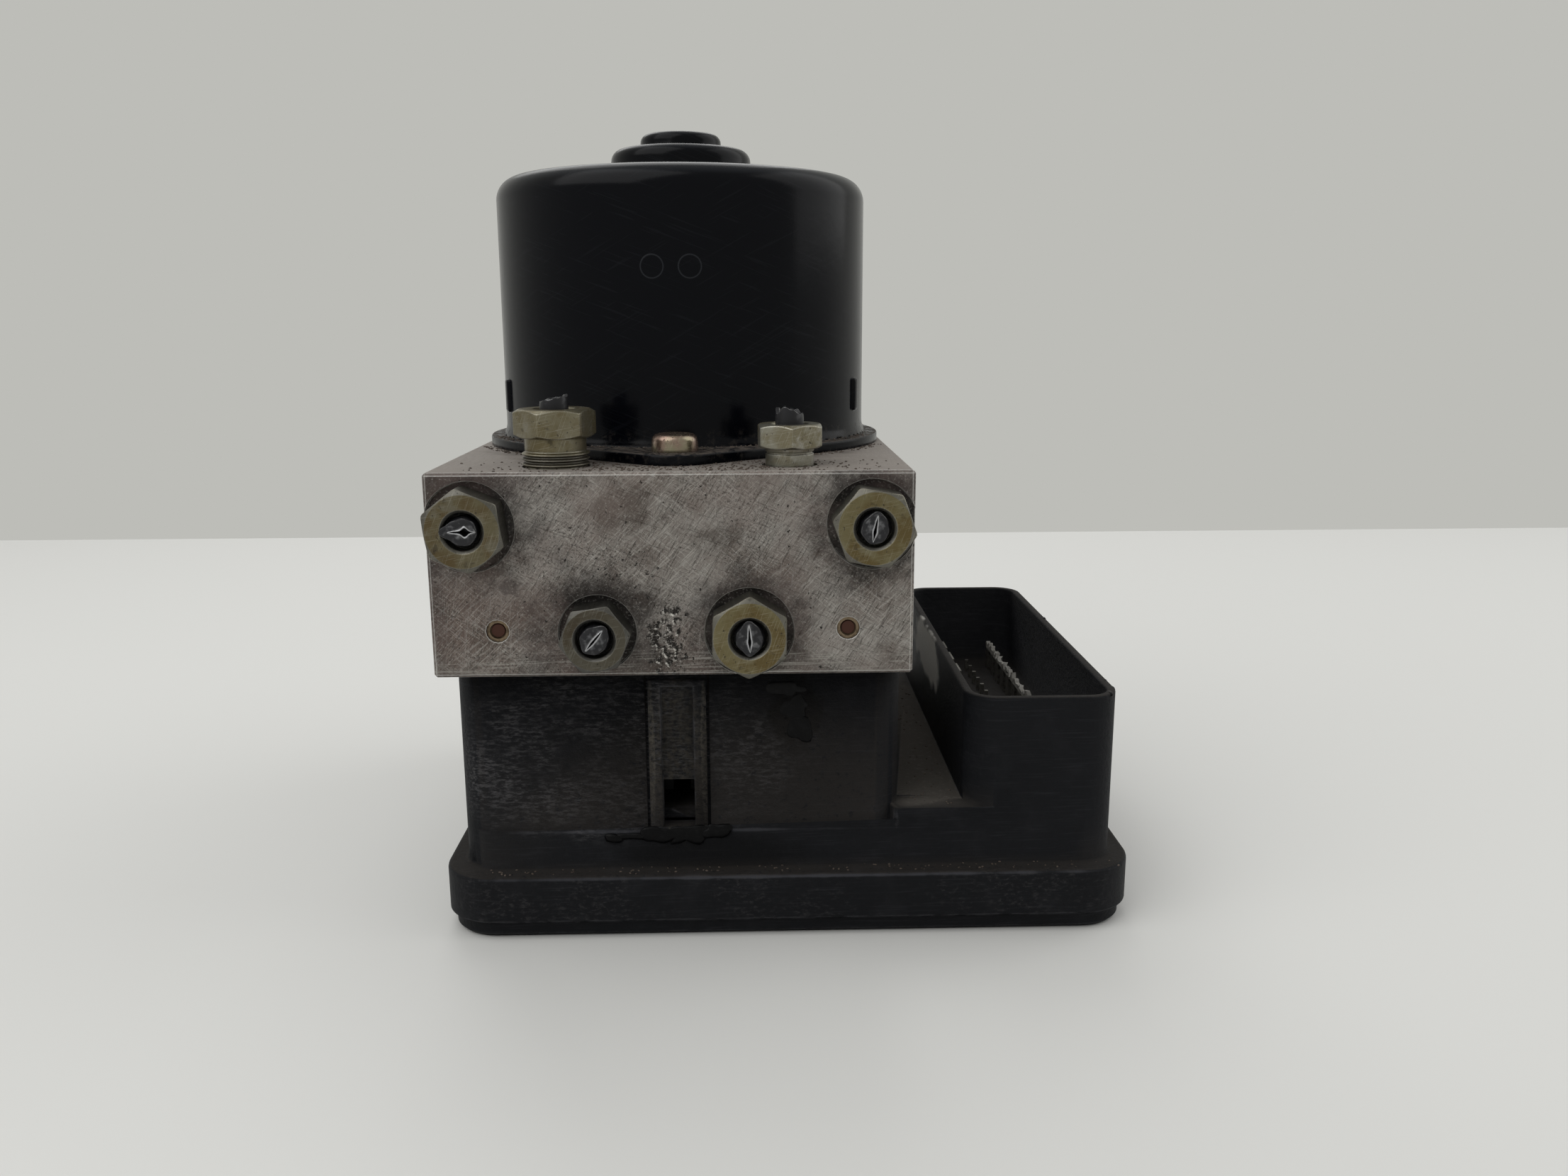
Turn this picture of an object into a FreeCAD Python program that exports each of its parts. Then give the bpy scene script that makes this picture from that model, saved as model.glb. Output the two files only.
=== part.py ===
import FreeCAD, Part
import Sketcher
import math
import os

# Anti-lock brake control unit: an aluminium valve block, a pump motor on its top face,
# a plastic controller with a plug socket under it, and pipe nuts in its ports.
# Origin: where the motor's axis meets the surface that the unit stands on.
# Axes: X to the plug socket, Y from the port face to the back, Z up. Millimetres.

VECTOR = FreeCAD.Vector
ROTATION = FreeCAD.Rotation

# Driving dimensions
SIZES = {
    # closed-in and very small round forms have this many flat sides, to keep the model light
    "hidden_sides": 16,
    # valve block
    "block_width": 85.0,
    "block_depth": 115.0,
    "block_height": 36.4,
    "block_edge": 0.5,
    "motor_setback": 60.0,
    # controller
    "cover_thickness": 3.0,
    "cover_inset": 1.2,
    "cover_edge": 0.8,
    "seal_thickness": 0.6,
    "seal_width": 2.0,
    "seal_inset": 4.0,
    "flange_left": 44.1,
    "flange_right": 85.4,
    "flange_front": 61.2,
    "flange_back": 56.2,
    "flange_height": 8.7,
    "flange_corner": 10.0,
    "tray_wall": 4.0,
    "tray_depth": 6.7,
    "chamber_height": 37.9,
    "chamber_left": 40.4,
    "chamber_right": 41.2,
    "chamber_front": 55.2,
    "chamber_back": 52.0,
    "chamber_corner": 5.0,
    "chamber_wall": 3.0,
    "web_underside": 16.4,
    "web_thickness": 2.4,
    "plinth_front": 56.8,
    "plinth_left": 38.0,
    "plinth_height": 8.7,
    "plinth_corner": 4.0,
    "shelf_left": 39.5,
    "shelf_height": 10.8,
    "shelf_corner": 1.5,
    "channel_depth": 0.6,
    "channel_half": 5.9,
    "rib_outer": 5.3,
    "rib_inner": 3.0,
    "rib_proud": 1.0,
    "crossbar_drop": 2.2,
    "crossbar_height": 1.2,
    "window_height": 9.1,
    "window_half": 2.9,
    "gasket_width": 1.2,
    "gasket_thickness": 0.6,
    "gasket_inset": 1.6,
    # plug socket
    "socket_left": 53.3,
    "socket_right": 81.9,
    "socket_back": 39.0,
    "socket_height": 32.0,
    "socket_wall": 1.6,
    "socket_corner": 6.0,
    "socket_floor": 13.7,
    "socket_floor_thickness": 3.0,
    "pin_row": 67.4,
    "pin_size": 0.8,
    "pin_rise": 3.0,
    "pin_pitch": 5.2,
    "pin_start": 24.0,
    "blade_row": 73.4,
    "blade_length": 3.4,
    "blade_thickness": 0.8,
    "blade_rise": 6.2,
    "blade_pitch": 6.2,
    "blade_start": 27.0,
    "power_row": 61.0,
    "power_width": 6.3,
    "power_rise": 8.0,
    "power_pitch": 10.0,
    "power_start": 20.0,
    # circuit board and its parts
    "capacitor_size": 10.0,
    "capacitor_height": 3.2,
    "board_thickness": 1.6,
    "board_margin": 1.0,
    # motor can
    "can_radius": 38.15,
    "can_wall": 1.8,
    "can_height": 53.8,
    "can_shoulder": 4.5,
    "shoulder_steps": 3,
    "motor_flange_radius": 41.5,
    "motor_flange_thickness": 2.0,
    "lug_distance": 44.5,
    "lug_radius": 7.6,
    "lug_root_half": 15.5,
    "boss_radius": 14.5,
    "boss_height": 6.1,
    "cap_radius": 8.35,
    "cap_height": 3.1,
    "boss_edge": 0.9,
    # motor screws
    "screw_head_radius": 4.2,
    "screw_head_height": 3.2,
    "screw_head_round": 1.2,
    "screw_radius": 2.5,
    "screw_length": 14.0,
    "screw_hole_play": 0.7,
    # rotor
    "shaft_radius": 4.0,
    "shaft_top_gap": 1.0,
    "core_radius": 28.8,
    "core_bottom": 21.4,
    "core_height": 25.0,
    "winding_outer": 25.0,
    "winding_inner": 14.0,
    "winding_height": 3.8,
    "commutator_radius": 11.5,
    "commutator_bottom": 7.0,
    "commutator_height": 10.0,
    "magnet_thickness": 6.6,
    "magnet_height": 31.0,
    "magnet_bottom": 18.4,
    "magnet_gap": 30.0,
    "bearing_play": 0.03,
    "upper_bearing_height": 6.4,
    "lower_bearing_height": 7.0,
    "eccentric_throw": 1.2,
    "eccentric_radius": 7.5,
    "eccentric_height": 11.0,
    "eccentric_bearing_radius": 10.5,
    "well_radius": 13.5,
    "well_depth": 24.0,
    # brushes
    "carrier_thickness": 3.0,
    "carrier_play": 0.5,
    "carrier_bore": 9.0,
    "brush_length": 8.0,
    "brush_width": 6.0,
    "brush_height": 7.0,
    "brush_gap": 0.1,
    "brush_room": 15.5,
    "holder_wall": 1.4,
    "brush_spring_size": 4.0,
    "terminal_width": 3.0,
    "terminal_thickness": 0.8,
    "terminal_spacing": 3.6,
    "terminal_setback": 28.0,
    "terminal_rise": 4.5,
    "sleeve_radius": 4.4,
    "slot_play": 0.1,
    # pump
    "pump_height": 20.2,
    "pump_bore_radius": 4.0,
    "pump_piston_length": 13.6,
    "pump_play": 0.03,
    "pump_stand_off": 0.1,
    "plug_radius": 7.0,
    "plug_length": 8.0,
    "plug_chamber": 17.0,
    "pump_spring_radius": 3.2,
    "pump_spring_wire": 0.7,
    # accumulators
    "accumulator_spacing": 44.0,
    "accumulator_height": 18.2,
    "accumulator_radius": 10.5,
    "accumulator_depth": 31.0,
    "accumulator_play": 0.05,
    "accumulator_rest_gap": 0.2,
    "accumulator_piston_length": 9.0,
    "accumulator_cap_thickness": 5.0,
    "accumulator_cap_recess": 1.0,
    "accumulator_spring_radius": 8.0,
    "accumulator_spring_wall": 1.6,
    # valves and coils
    "valve_pitch": 19.0,
    "inlet_row": 36.0,
    "outlet_row": 19.0,
    "valve_radius": 4.1,
    "valve_depth": 14.0,
    "inlet_dome": 24.0,
    "outlet_dome": 22.0,
    "coil_width": 15.6,
    "coil_height": 24.0,
    "coil_plate": 2.0,
    "coil_winding_radius": 7.2,
    "coil_play": 0.5,
    # ports, nuts and pipes
    "port_half_spacing_upper": 35.0,
    "port_rise_upper": 27.0,
    "port_half_spacing_lower": 13.4,
    "port_rise_lower": 7.9,
    "inlet_half_spacing": 20.9,
    "inlet_setback": 10.0,
    "port_depth": 13.0,
    "large_thread_radius": 6.0,
    "small_thread_radius": 5.0,
    "thread_play": 0.05,
    "large_hex": 12.9,
    "small_hex": 11.1,
    "hex_height": 6.0,
    "spot_face_depth": 0.8,
    "spot_face_margin": 0.5,
    "left_nut_lift": 5.2,
    "right_nut_lift": 3.1,
    "inlet_hex_height": 5.0,
    "right_hex_height": 4.2,
    "left_thread_show": 2.8,
    "left_neck_radius": 5.45,
    "right_neck_radius": 4.35,
    "nut_bore_radius": 3.3,
    "nut_thread_length": 10.0,
    "pipe_radius": 2.55,
    "pipe_slit": 0.5,
    "pipe_slit_depth": 1.6,
    "front_pipe_rise": 0.3,
    "left_pipe_rise": 2.7,
    "right_pipe_rise": 3.2,
    "plug_half_spacing": 30.9,
    "plug_rise": 8.4,
    "bore_plug_radius": 2.05,
    "bore_plug_depth": 4.0,
    "bore_plug_recess": 0.4,
    # fixings
    "mount_hole_radius": 2.5,
    "mount_hole_depth": 12.0,
    "mount_hole_rise": 18.2,
    "mount_hole_setback": 22.0,
    "controller_screw_radius": 2.0,
    "controller_screw_grip": 12.0,
    "controller_screw_head": 3.2,
    "controller_screw_head_height": 2.4,
    "controller_screw_left": 33.6,
    "controller_screw_right": 34.4,
    "controller_screw_front": 48.2,
    "controller_screw_back": 45.4,
    "boss_size": 8.0,
}

doc = FreeCAD.newDocument("brake_control_unit")
sheet = doc.addObject("Spreadsheet::Sheet", "dims")
for row, (alias, number) in enumerate(SIZES.items(), start=1):
    sheet.set(f"A{row}", alias)
    sheet.set(f"B{row}", str(number))
    sheet.setAlias(f"B{row}", alias)
doc.recompute()


# A size with its formula
class Size:
    """A length as the formula that the document keeps, with its present number."""

    def __init__(self, text, number):
        self.text = text
        self.number = number

    def __add__(self, other):
        other = as_size(other)
        return Size(f"({self.text} + {other.text})", self.number + other.number)

    def __sub__(self, other):
        other = as_size(other)
        return Size(f"({self.text} - {other.text})", self.number - other.number)

    def __mul__(self, other):
        other = as_size(other)
        return Size(f"({self.text} * {other.text})", self.number * other.number)

    def __truediv__(self, other):
        other = as_size(other)
        return Size(f"({self.text} / {other.text})", self.number / other.number)

    def __radd__(self, other):
        return as_size(other) + self

    def __rsub__(self, other):
        return as_size(other) - self

    def __rmul__(self, other):
        return as_size(other) * self

    def __neg__(self):
        return Size(f"(0 - {self.text})", -self.number)


def as_size(value):
    return value if isinstance(value, Size) else Size(str(value), float(value))


class Sheet:
    """Each driving dimension by its own name."""


s = Sheet()
for alias in SIZES:
    setattr(s, alias, Size(f"dims.{alias}", float(sheet.get(alias))))

# Levels and edges that several pieces share
flange_base = s.cover_thickness + s.seal_thickness
flange_top = flange_base + s.flange_height
tray_roof = flange_base + s.tray_depth
block_base = flange_top + s.chamber_height
block_top = block_base + s.block_height
block_left = -s.block_width / 2
block_front = -s.motor_setback
block_back = s.block_depth - s.motor_setback
flange_width = s.flange_left + s.flange_right
flange_length = s.flange_front + s.flange_back
COS_30 = math.cos(math.radians(30))
COS_SIDE = math.cos(math.pi / s.hidden_sides.number)


def bind(item, path, size):
    item.setExpression(path, as_size(size).text)


def new_body(node):
    body = doc.addObject("PartDesign::Body", node)
    body.Label = node
    NODES.append(body)
    return body


NODES = []
AIM = {
    "Z": ROTATION(),
    "X": ROTATION(VECTOR(0, 1, 0), 90),
    "-X": ROTATION(VECTOR(0, 1, 0), -90),
    "Y": ROTATION(VECTOR(1, 0, 0), -90),
    "-Y": ROTATION(VECTOR(1, 0, 0), 90),
}


def locate(item, x, y, z, turn=None):
    """Put a body or a feature at a place given by three sizes."""
    if turn is not None:
        item.Placement = FreeCAD.Placement(VECTOR(0, 0, 0), turn)
    for letter, size in zip("xyz", (x, y, z)):
        bind(item, f"Placement.Base.{letter}", size)


def add_box(body, x, y, z, length, width, height, cut=False, turn=None):
    kind = "SubtractiveBox" if cut else "AdditiveBox"
    box = body.newObject(f"PartDesign::{kind}", "box")
    bind(box, "Length", length)
    bind(box, "Width", width)
    bind(box, "Height", height)
    locate(box, x, y, z, turn)
    return box


def add_rod(body, x, y, z, radius, length, aim="Z", cut=False, hidden=False):
    """A round rod or hole; a hidden one has flat sides."""
    kind = ("Subtractive" if cut else "Additive") + ("Prism" if hidden else "Cylinder")
    rod = body.newObject(f"PartDesign::{kind}", "rod")
    bind(rod, "Circumradius" if hidden else "Radius", radius)
    bind(rod, "Height", length)
    if hidden:
        bind(rod, "Polygon", s.hidden_sides)
    locate(rod, x, y, z, AIM[aim])
    return rod


def add_hexagon(body, z, flats, height, turn):
    """A hexagon on the body's Z axis, given by its width across flats."""
    prism = body.newObject("PartDesign::AdditivePrism", "hexagon")
    bind(prism, "Circumradius", flats / COS_30 / 2)
    bind(prism, "Height", height)
    locate(prism, 0, 0, z, ROTATION(VECTOR(0, 0, 1), turn))
    return prism


def origin_plane(body, role):
    return next(f for f in body.Origin.OriginFeatures if f.Role == role)


def add_sketch(body, role, x=0, y=0, z=0):
    """A sketch on one of the body's own planes, shifted within it by three sizes."""
    sketch = body.newObject("Sketcher::SketchObject", "outline")
    sketch.AttachmentSupport = [(origin_plane(body, role), "")]
    sketch.MapMode = "FlatFace"
    for letter, size in zip("xyz", (x, y, z)):
        bind(sketch, f"AttachmentOffset.Base.{letter}", size)
    return sketch


def limit(sketch, *constraint, size=None):
    """Add a constraint and bind its datum to a size."""
    if size is None:
        sketch.addConstraint(Sketcher.Constraint(*constraint))
        return
    number = sketch.addConstraint(Sketcher.Constraint(*constraint, as_size(size).number))
    sketch.setExpression(f"Constraints[{number}]", as_size(size).text)


def draw_outline(sketch, points):
    """A closed outline through points, each a pair of sizes that are zero or more."""
    count = len(points)
    ends = [VECTOR(as_size(a).number, as_size(b).number, 0) for a, b in points]
    for n in range(count):
        sketch.addGeometry(Part.LineSegment(ends[n], ends[(n + 1) % count]))
    for n in range(count):
        limit(sketch, "Coincident", n, 2, (n + 1) % count, 1)
    for n, (across, up) in enumerate(points):
        if as_size(across).number == 0:
            limit(sketch, "PointOnObject", n, 1, -2)
        else:
            limit(sketch, "DistanceX", -1, 1, n, 1, size=across)
        if as_size(up).number == 0:
            limit(sketch, "PointOnObject", n, 1, -1)
        else:
            limit(sketch, "DistanceY", -1, 1, n, 1, size=up)


def draw_rounded_rectangle(sketch, length, width, radius):
    """A rectangle with four equal round corners, one corner at the origin."""
    first = sketch.GeometryCount
    left = as_size(0)
    c = left.number
    a, b, r = c + length.number, c + width.number, radius.number
    sides = [
        ((c + r, c), (a - r, c)),
        ((a, c + r), (a, b - r)),
        ((a - r, b), (c + r, b)),
        ((c, b - r), (c, c + r)),
    ]
    centres = [(a - r, c + r, 270), (a - r, b - r, 0), (c + r, b - r, 90), (c + r, c + r, 180)]
    for start, end in sides:
        sketch.addGeometry(Part.LineSegment(VECTOR(*start, 0), VECTOR(*end, 0)))
    for x, y, start in centres:
        circle = Part.Circle(VECTOR(x, y, 0), VECTOR(0, 0, 1), r)
        angle = math.radians(start)
        sketch.addGeometry(Part.ArcOfCircle(circle, angle, angle + math.pi / 2))
    for n in range(4):
        limit(sketch, "Tangent", first + n, 2, first + n + 4, 1)
        limit(sketch, "Tangent", first + n + 4, 2, first + (n + 1) % 4, 1)
    for n in (0, 2):
        limit(sketch, "Horizontal", first + n)
    for n in (1, 3):
        limit(sketch, "Vertical", first + n)
    for n in (5, 6, 7):
        limit(sketch, "Equal", first + 4, first + n)
    limit(sketch, "Radius", first + 4, size=radius)
    if c == 0:
        limit(sketch, "PointOnObject", first, 1, -1)
        limit(sketch, "PointOnObject", first + 3, 1, -2)
    else:
        limit(sketch, "DistanceY", -1, 1, first, 1, size=left)
        limit(sketch, "DistanceX", -1, 1, first + 3, 1, size=left)
    limit(sketch, "DistanceX", -1, 1, first + 1, 1, size=left + length)
    limit(sketch, "DistanceY", -1, 1, first + 2, 1, size=left + width)


def extrude(body, sketch, height, cut=False):
    """Raise a sketch by a height, or cut the same space out of the body."""
    feature = body.newObject(f"PartDesign::{'Pocket' if cut else 'Pad'}", "raised")
    feature.Profile = sketch
    if cut:
        feature.Reversed = True
    bind(feature, "Length", height)
    return feature


def add_plate(body, x, y, z, length, width, height, corner, cut=False):
    """A plate with round corners, or a hole of that shape."""
    sketch = add_sketch(body, "XY_Plane", x, y, z)
    draw_rounded_rectangle(sketch, length, width, corner)
    return extrude(body, sketch, height, cut)


def turned(node, outline):
    """A turned piece on the Z axis: its half section is (radius, height) points."""
    body = new_body(node)
    sketch = add_sketch(body, "XZ_Plane")
    draw_outline(sketch, outline)
    revolution = body.newObject("PartDesign::Revolution", "turned")
    revolution.Profile = sketch
    revolution.ReferenceAxis = (sketch, ["V_Axis"])
    revolution.Angle = 360
    return body


def rod(node, radius, length, hidden=False):
    body = new_body(node)
    add_rod(body, 0, 0, 0, radius, length, hidden=hidden)
    return body


def hidden_ring(node, outer, inner, length, round_bore=False):
    body = rod(node, outer, length, hidden=True)
    add_rod(body, 0, 0, 0, inner, length, cut=True, hidden=not round_bore)
    return body


def flat_frame(node, x, y, z, length, width, height, bar):
    """A flat frame with square corners."""
    body = new_body(node)
    add_box(body, x, y, z, length, width, height)
    add_box(
        body, x + bar, y + bar, z, length - 2 * bar, width - 2 * bar, height, cut=True
    )
    return body


def edges_of(feature, wanted):
    """Names of a feature's edges for which wanted(edge) is true."""
    doc.recompute()
    edges = feature.Shape.Edges
    return [f"Edge{n}" for n, edge in enumerate(edges, start=1) if wanted(edge)]


def round_edges(body, feature, names, size, kind="Fillet"):
    dressing = body.newObject(f"PartDesign::{kind}", kind.lower())
    dressing.Base = (feature, names)
    bind(dressing, "Radius" if kind == "Fillet" else "Size", size)
    return dressing


# Valve block
PORTS = {
    "upper_left": (-s.port_half_spacing_upper, s.port_rise_upper, "large", 38),
    "upper_right": (s.port_half_spacing_upper, s.port_rise_upper, "large", 50),
    "lower_left": (-s.port_half_spacing_lower, s.port_rise_lower, "small", 8),
    "lower_right": (s.port_half_spacing_lower, s.port_rise_lower, "large", 29),
}
THREADS = {"large": s.large_thread_radius, "small": s.small_thread_radius}
HEXES = {"large": s.large_hex, "small": s.small_hex}
SPOT_FACES = {k: v / COS_30 / 2 + s.spot_face_margin for k, v in HEXES.items()}
INLETS = {"left": (-s.inlet_half_spacing, "large"), "right": (s.inlet_half_spacing, "small")}
inlet_y = block_front + s.inlet_setback
pump_z = block_base + s.pump_height
accumulator_z = block_base + s.accumulator_height
SIDES = {"left": -1, "right": 1}
VALVE_COLUMNS = (-1.5, -0.5, 0.5, 1.5)
VALVE_ROWS = {"inlet": -s.inlet_row, "outlet": -s.outlet_row}
SCREW_CORNERS = [
    (-s.controller_screw_left, -s.controller_screw_front),
    (s.controller_screw_right, -s.controller_screw_front),
    (-s.controller_screw_left, s.controller_screw_back),
    (s.controller_screw_right, s.controller_screw_back),
]
thread_top = block_top - s.screw_length


def build_block():
    body = new_body("hydraulic_block")
    stock = add_box(
        body, block_left, block_front, block_base, s.block_width, s.block_depth, s.block_height
    )
    edges = edges_of(stock, lambda edge: True)
    round_edges(body, stock, edges, s.block_edge, kind="Chamfer")
    for x, rise, size, _ in PORTS.values():
        z = block_base + rise
        add_rod(body, x, block_front, z, SPOT_FACES[size], s.spot_face_depth, "Y", cut=True)
        radius = THREADS[size] + s.thread_play
        add_rod(body, x, block_front, z, radius, s.port_depth, "Y", cut=True, hidden=True)
    for x, size in INLETS.values():
        radius = THREADS[size] + s.thread_play
        add_rod(body, x, inlet_y, block_top - s.port_depth, radius, s.port_depth, cut=True)
    for side in SIDES.values():
        x, z = side * s.plug_half_spacing, block_base + s.plug_rise
        add_rod(
            body, x, block_front, z, s.bore_plug_radius, s.bore_plug_depth, "Y",
            cut=True, hidden=True,
        )
    # motor well, the motor's two tapped holes and the terminal duct
    well_floor = block_top - s.well_depth
    add_rod(body, 0, 0, well_floor, s.well_radius, s.well_depth, cut=True, hidden=True)
    for side in (-1, 1):
        y = side * s.lug_distance
        add_rod(
            body, 0, y, thread_top, s.screw_radius, s.screw_length, cut=True, hidden=True
        )
    add_rod(
        body, 0, s.terminal_setback, block_base, s.sleeve_radius, s.block_height,
        cut=True, hidden=True,
    )
    # pump bores from both sides, with a wide chamber for each plug
    for side, aim in ((1, "X"), (-1, "-X")):
        face = side * s.block_width / 2
        chamber_end = face - side * s.plug_chamber
        bore = s.pump_bore_radius + s.pump_play
        reach = s.block_width / 2 - s.plug_chamber
        add_rod(body, 0, 0, pump_z, bore, reach, aim, cut=True, hidden=True)
        add_rod(body, chamber_end, 0, pump_z, s.plug_radius, s.plug_chamber, aim, cut=True)
    # accumulator bores from the back
    for side in SIDES.values():
        x = side * s.accumulator_spacing / 2
        radius = s.accumulator_radius
        add_rod(body, x, block_back, accumulator_z, radius, s.accumulator_depth, "-Y", cut=True)
    # valve seats from below
    for y in VALVE_ROWS.values():
        for column in VALVE_COLUMNS:
            x = column * s.valve_pitch
            add_rod(
                body, x, y, block_base, s.valve_radius, s.valve_depth, cut=True, hidden=True
            )
    # controller screw holes
    for x, y in SCREW_CORNERS:
        add_rod(
            body, x, y, block_base, s.controller_screw_radius, s.controller_screw_grip,
            cut=True, hidden=True,
        )
    # tapped holes for the vehicle's rubber mounts
    mount_z = block_base + s.mount_hole_rise
    for side, aim in ((1, "-X"), (-1, "X")):
        face = side * s.block_width / 2
        depth = s.mount_hole_depth
        add_rod(body, face, -s.mount_hole_setback, mount_z, s.mount_hole_radius, depth, aim, cut=True)
    depth = s.mount_hole_depth
    add_rod(body, 0, block_back, mount_z, s.mount_hole_radius, depth, "-Y", cut=True)


# Controller housing
socket_y = -s.plinth_front
socket_length = s.plinth_front + s.socket_back
socket_width = s.socket_right - s.socket_left
socket_floor_top = flange_top + s.socket_floor
web_base = flange_base + s.web_underside
rim = block_base - s.gasket_thickness


def build_housing():
    body = new_body("controller_housing")
    chamber_width = s.chamber_left + s.chamber_right
    chamber_length = s.chamber_front + s.chamber_back
    add_plate(
        body, -s.flange_left, -s.flange_front, flange_base,
        flange_width, flange_length, s.flange_height, s.flange_corner,
    )
    add_plate(
        body, -s.chamber_left, -s.chamber_front, flange_top,
        chamber_width, chamber_length, s.chamber_height - s.gasket_thickness, s.chamber_corner,
    )
    # plinth in front of the chamber and shelf beside it, both reaching to the socket
    add_plate(
        body, -s.plinth_left, -s.plinth_front, flange_top,
        s.plinth_left + s.socket_left + 2 * s.socket_corner, s.chamber_corner * 3,
        s.plinth_height, s.plinth_corner,
    )
    add_plate(
        body, s.shelf_left, -s.plinth_front, flange_top,
        s.socket_left + 2 * s.socket_corner - s.shelf_left, socket_length,
        s.shelf_height, s.shelf_corner,
    )
    add_plate(
        body, s.socket_left, socket_y, flange_top,
        socket_width, socket_length, s.socket_height, s.socket_corner,
    )
    # channel down the chamber's front wall, with a rib on each side and a bar across
    floor_y = -s.chamber_front + s.channel_depth
    channel_base = flange_top + s.plinth_height
    channel_height = s.chamber_height - s.plinth_height
    add_box(
        body, -s.channel_half, -s.chamber_front, channel_base,
        2 * s.channel_half, s.channel_depth, channel_height, cut=True,
    )
    rib_depth = s.rib_proud + s.chamber_wall / 2
    for x in (-s.rib_outer, s.rib_inner):
        add_box(
            body, x, floor_y - s.rib_proud, channel_base,
            s.rib_outer - s.rib_inner, rib_depth, channel_height - s.crossbar_drop,
        )
    add_box(
        body, -s.rib_outer, floor_y - s.rib_proud,
        block_base - s.crossbar_drop - s.crossbar_height,
        2 * s.rib_outer, rib_depth, s.crossbar_height,
    )
    # room for the circuit board, and the hollows under the web, shelf and socket
    add_box(
        body, -s.flange_left + s.tray_wall, -s.flange_front + s.tray_wall, flange_base,
        flange_width - 2 * s.tray_wall, flange_length - 2 * s.tray_wall, s.tray_depth, cut=True,
    )
    inner_left = -s.chamber_left + s.chamber_wall
    inner_front = -s.chamber_front + s.chamber_wall
    inner_length = chamber_length - 2 * s.chamber_wall
    add_box(
        body, inner_left, inner_front, tray_roof,
        chamber_width - 2 * s.chamber_wall, inner_length, web_base - tray_roof, cut=True,
    )
    add_box(
        body, s.chamber_right, inner_front, tray_roof,
        s.socket_left - s.chamber_wall - s.chamber_right,
        s.socket_back + s.chamber_front - 2 * s.chamber_wall, web_base - tray_roof, cut=True,
    )
    add_box(
        body, s.socket_left + s.chamber_wall, socket_y + s.chamber_wall, tray_roof,
        socket_width - 2 * s.chamber_wall, socket_length - 2 * s.chamber_wall,
        socket_floor_top - s.socket_floor_thickness - tray_roof, cut=True,
    )
    # coil chamber, with square bosses left in its corners for the long screws
    chamber_floor = web_base + s.web_thickness
    add_box(
        body, inner_left, inner_front, chamber_floor,
        chamber_width - 2 * s.chamber_wall, inner_length, rim - chamber_floor, cut=True,
    )
    for x, y in SCREW_CORNERS:
        add_box(
            body, x - s.boss_size / 2, y - s.boss_size / 2, chamber_floor,
            s.boss_size, s.boss_size, rim - chamber_floor,
        )
        bore = s.controller_screw_radius + s.slot_play
        add_rod(body, x, y, web_base, bore, rim - web_base, cut=True, hidden=True)
    # window through the front wall into the chamber
    add_box(
        body, -s.window_half, -s.plinth_front, channel_base,
        2 * s.window_half, s.chamber_wall + s.plinth_front - s.chamber_front,
        s.window_height, cut=True,
    )
    # plug socket
    add_plate(
        body, s.socket_left + s.socket_wall, socket_y + s.socket_wall, socket_floor_top,
        socket_width - 2 * s.socket_wall, socket_length - 2 * s.socket_wall,
        s.socket_height - s.socket_floor, s.socket_corner - s.socket_wall, cut=True,
    )
    # slots for the contacts and the motor's terminals
    floor_base = socket_floor_top - s.socket_floor_thickness
    for x, y, length, width in contact_places():
        add_box(
            body, x - length / 2, y - width / 2, floor_base,
            length, width, s.socket_floor_thickness, cut=True,
        )
    for x in terminal_places():
        add_box(
            body, x - terminal_slot_x / 2, s.terminal_setback - terminal_slot_y / 2, web_base,
            terminal_slot_x, terminal_slot_y, s.web_thickness, cut=True,
        )
    return body


terminal_slot_x = s.terminal_thickness + 2 * s.slot_play
terminal_slot_y = s.terminal_width + 2 * s.slot_play
PIN_COUNT = 10
BLADE_COUNT = 8
POWER_COUNT = 3


def terminal_places():
    return (-s.terminal_spacing / 2, s.terminal_spacing / 2)


def contact_places():
    """Each contact's place in the socket, as x, y and its size along x and y."""
    places = []
    for n in range(PIN_COUNT):
        places.append((s.pin_row, s.pin_start - n * s.pin_pitch, s.pin_size, s.pin_size))
    for n in range(BLADE_COUNT):
        y = s.blade_start - n * s.blade_pitch
        places.append((s.blade_row, y, s.blade_thickness, s.blade_length))
    for n in range(POWER_COUNT):
        y = s.power_start - n * s.power_pitch
        places.append((s.power_row, y, s.blade_thickness, s.power_width))
    return places


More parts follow.
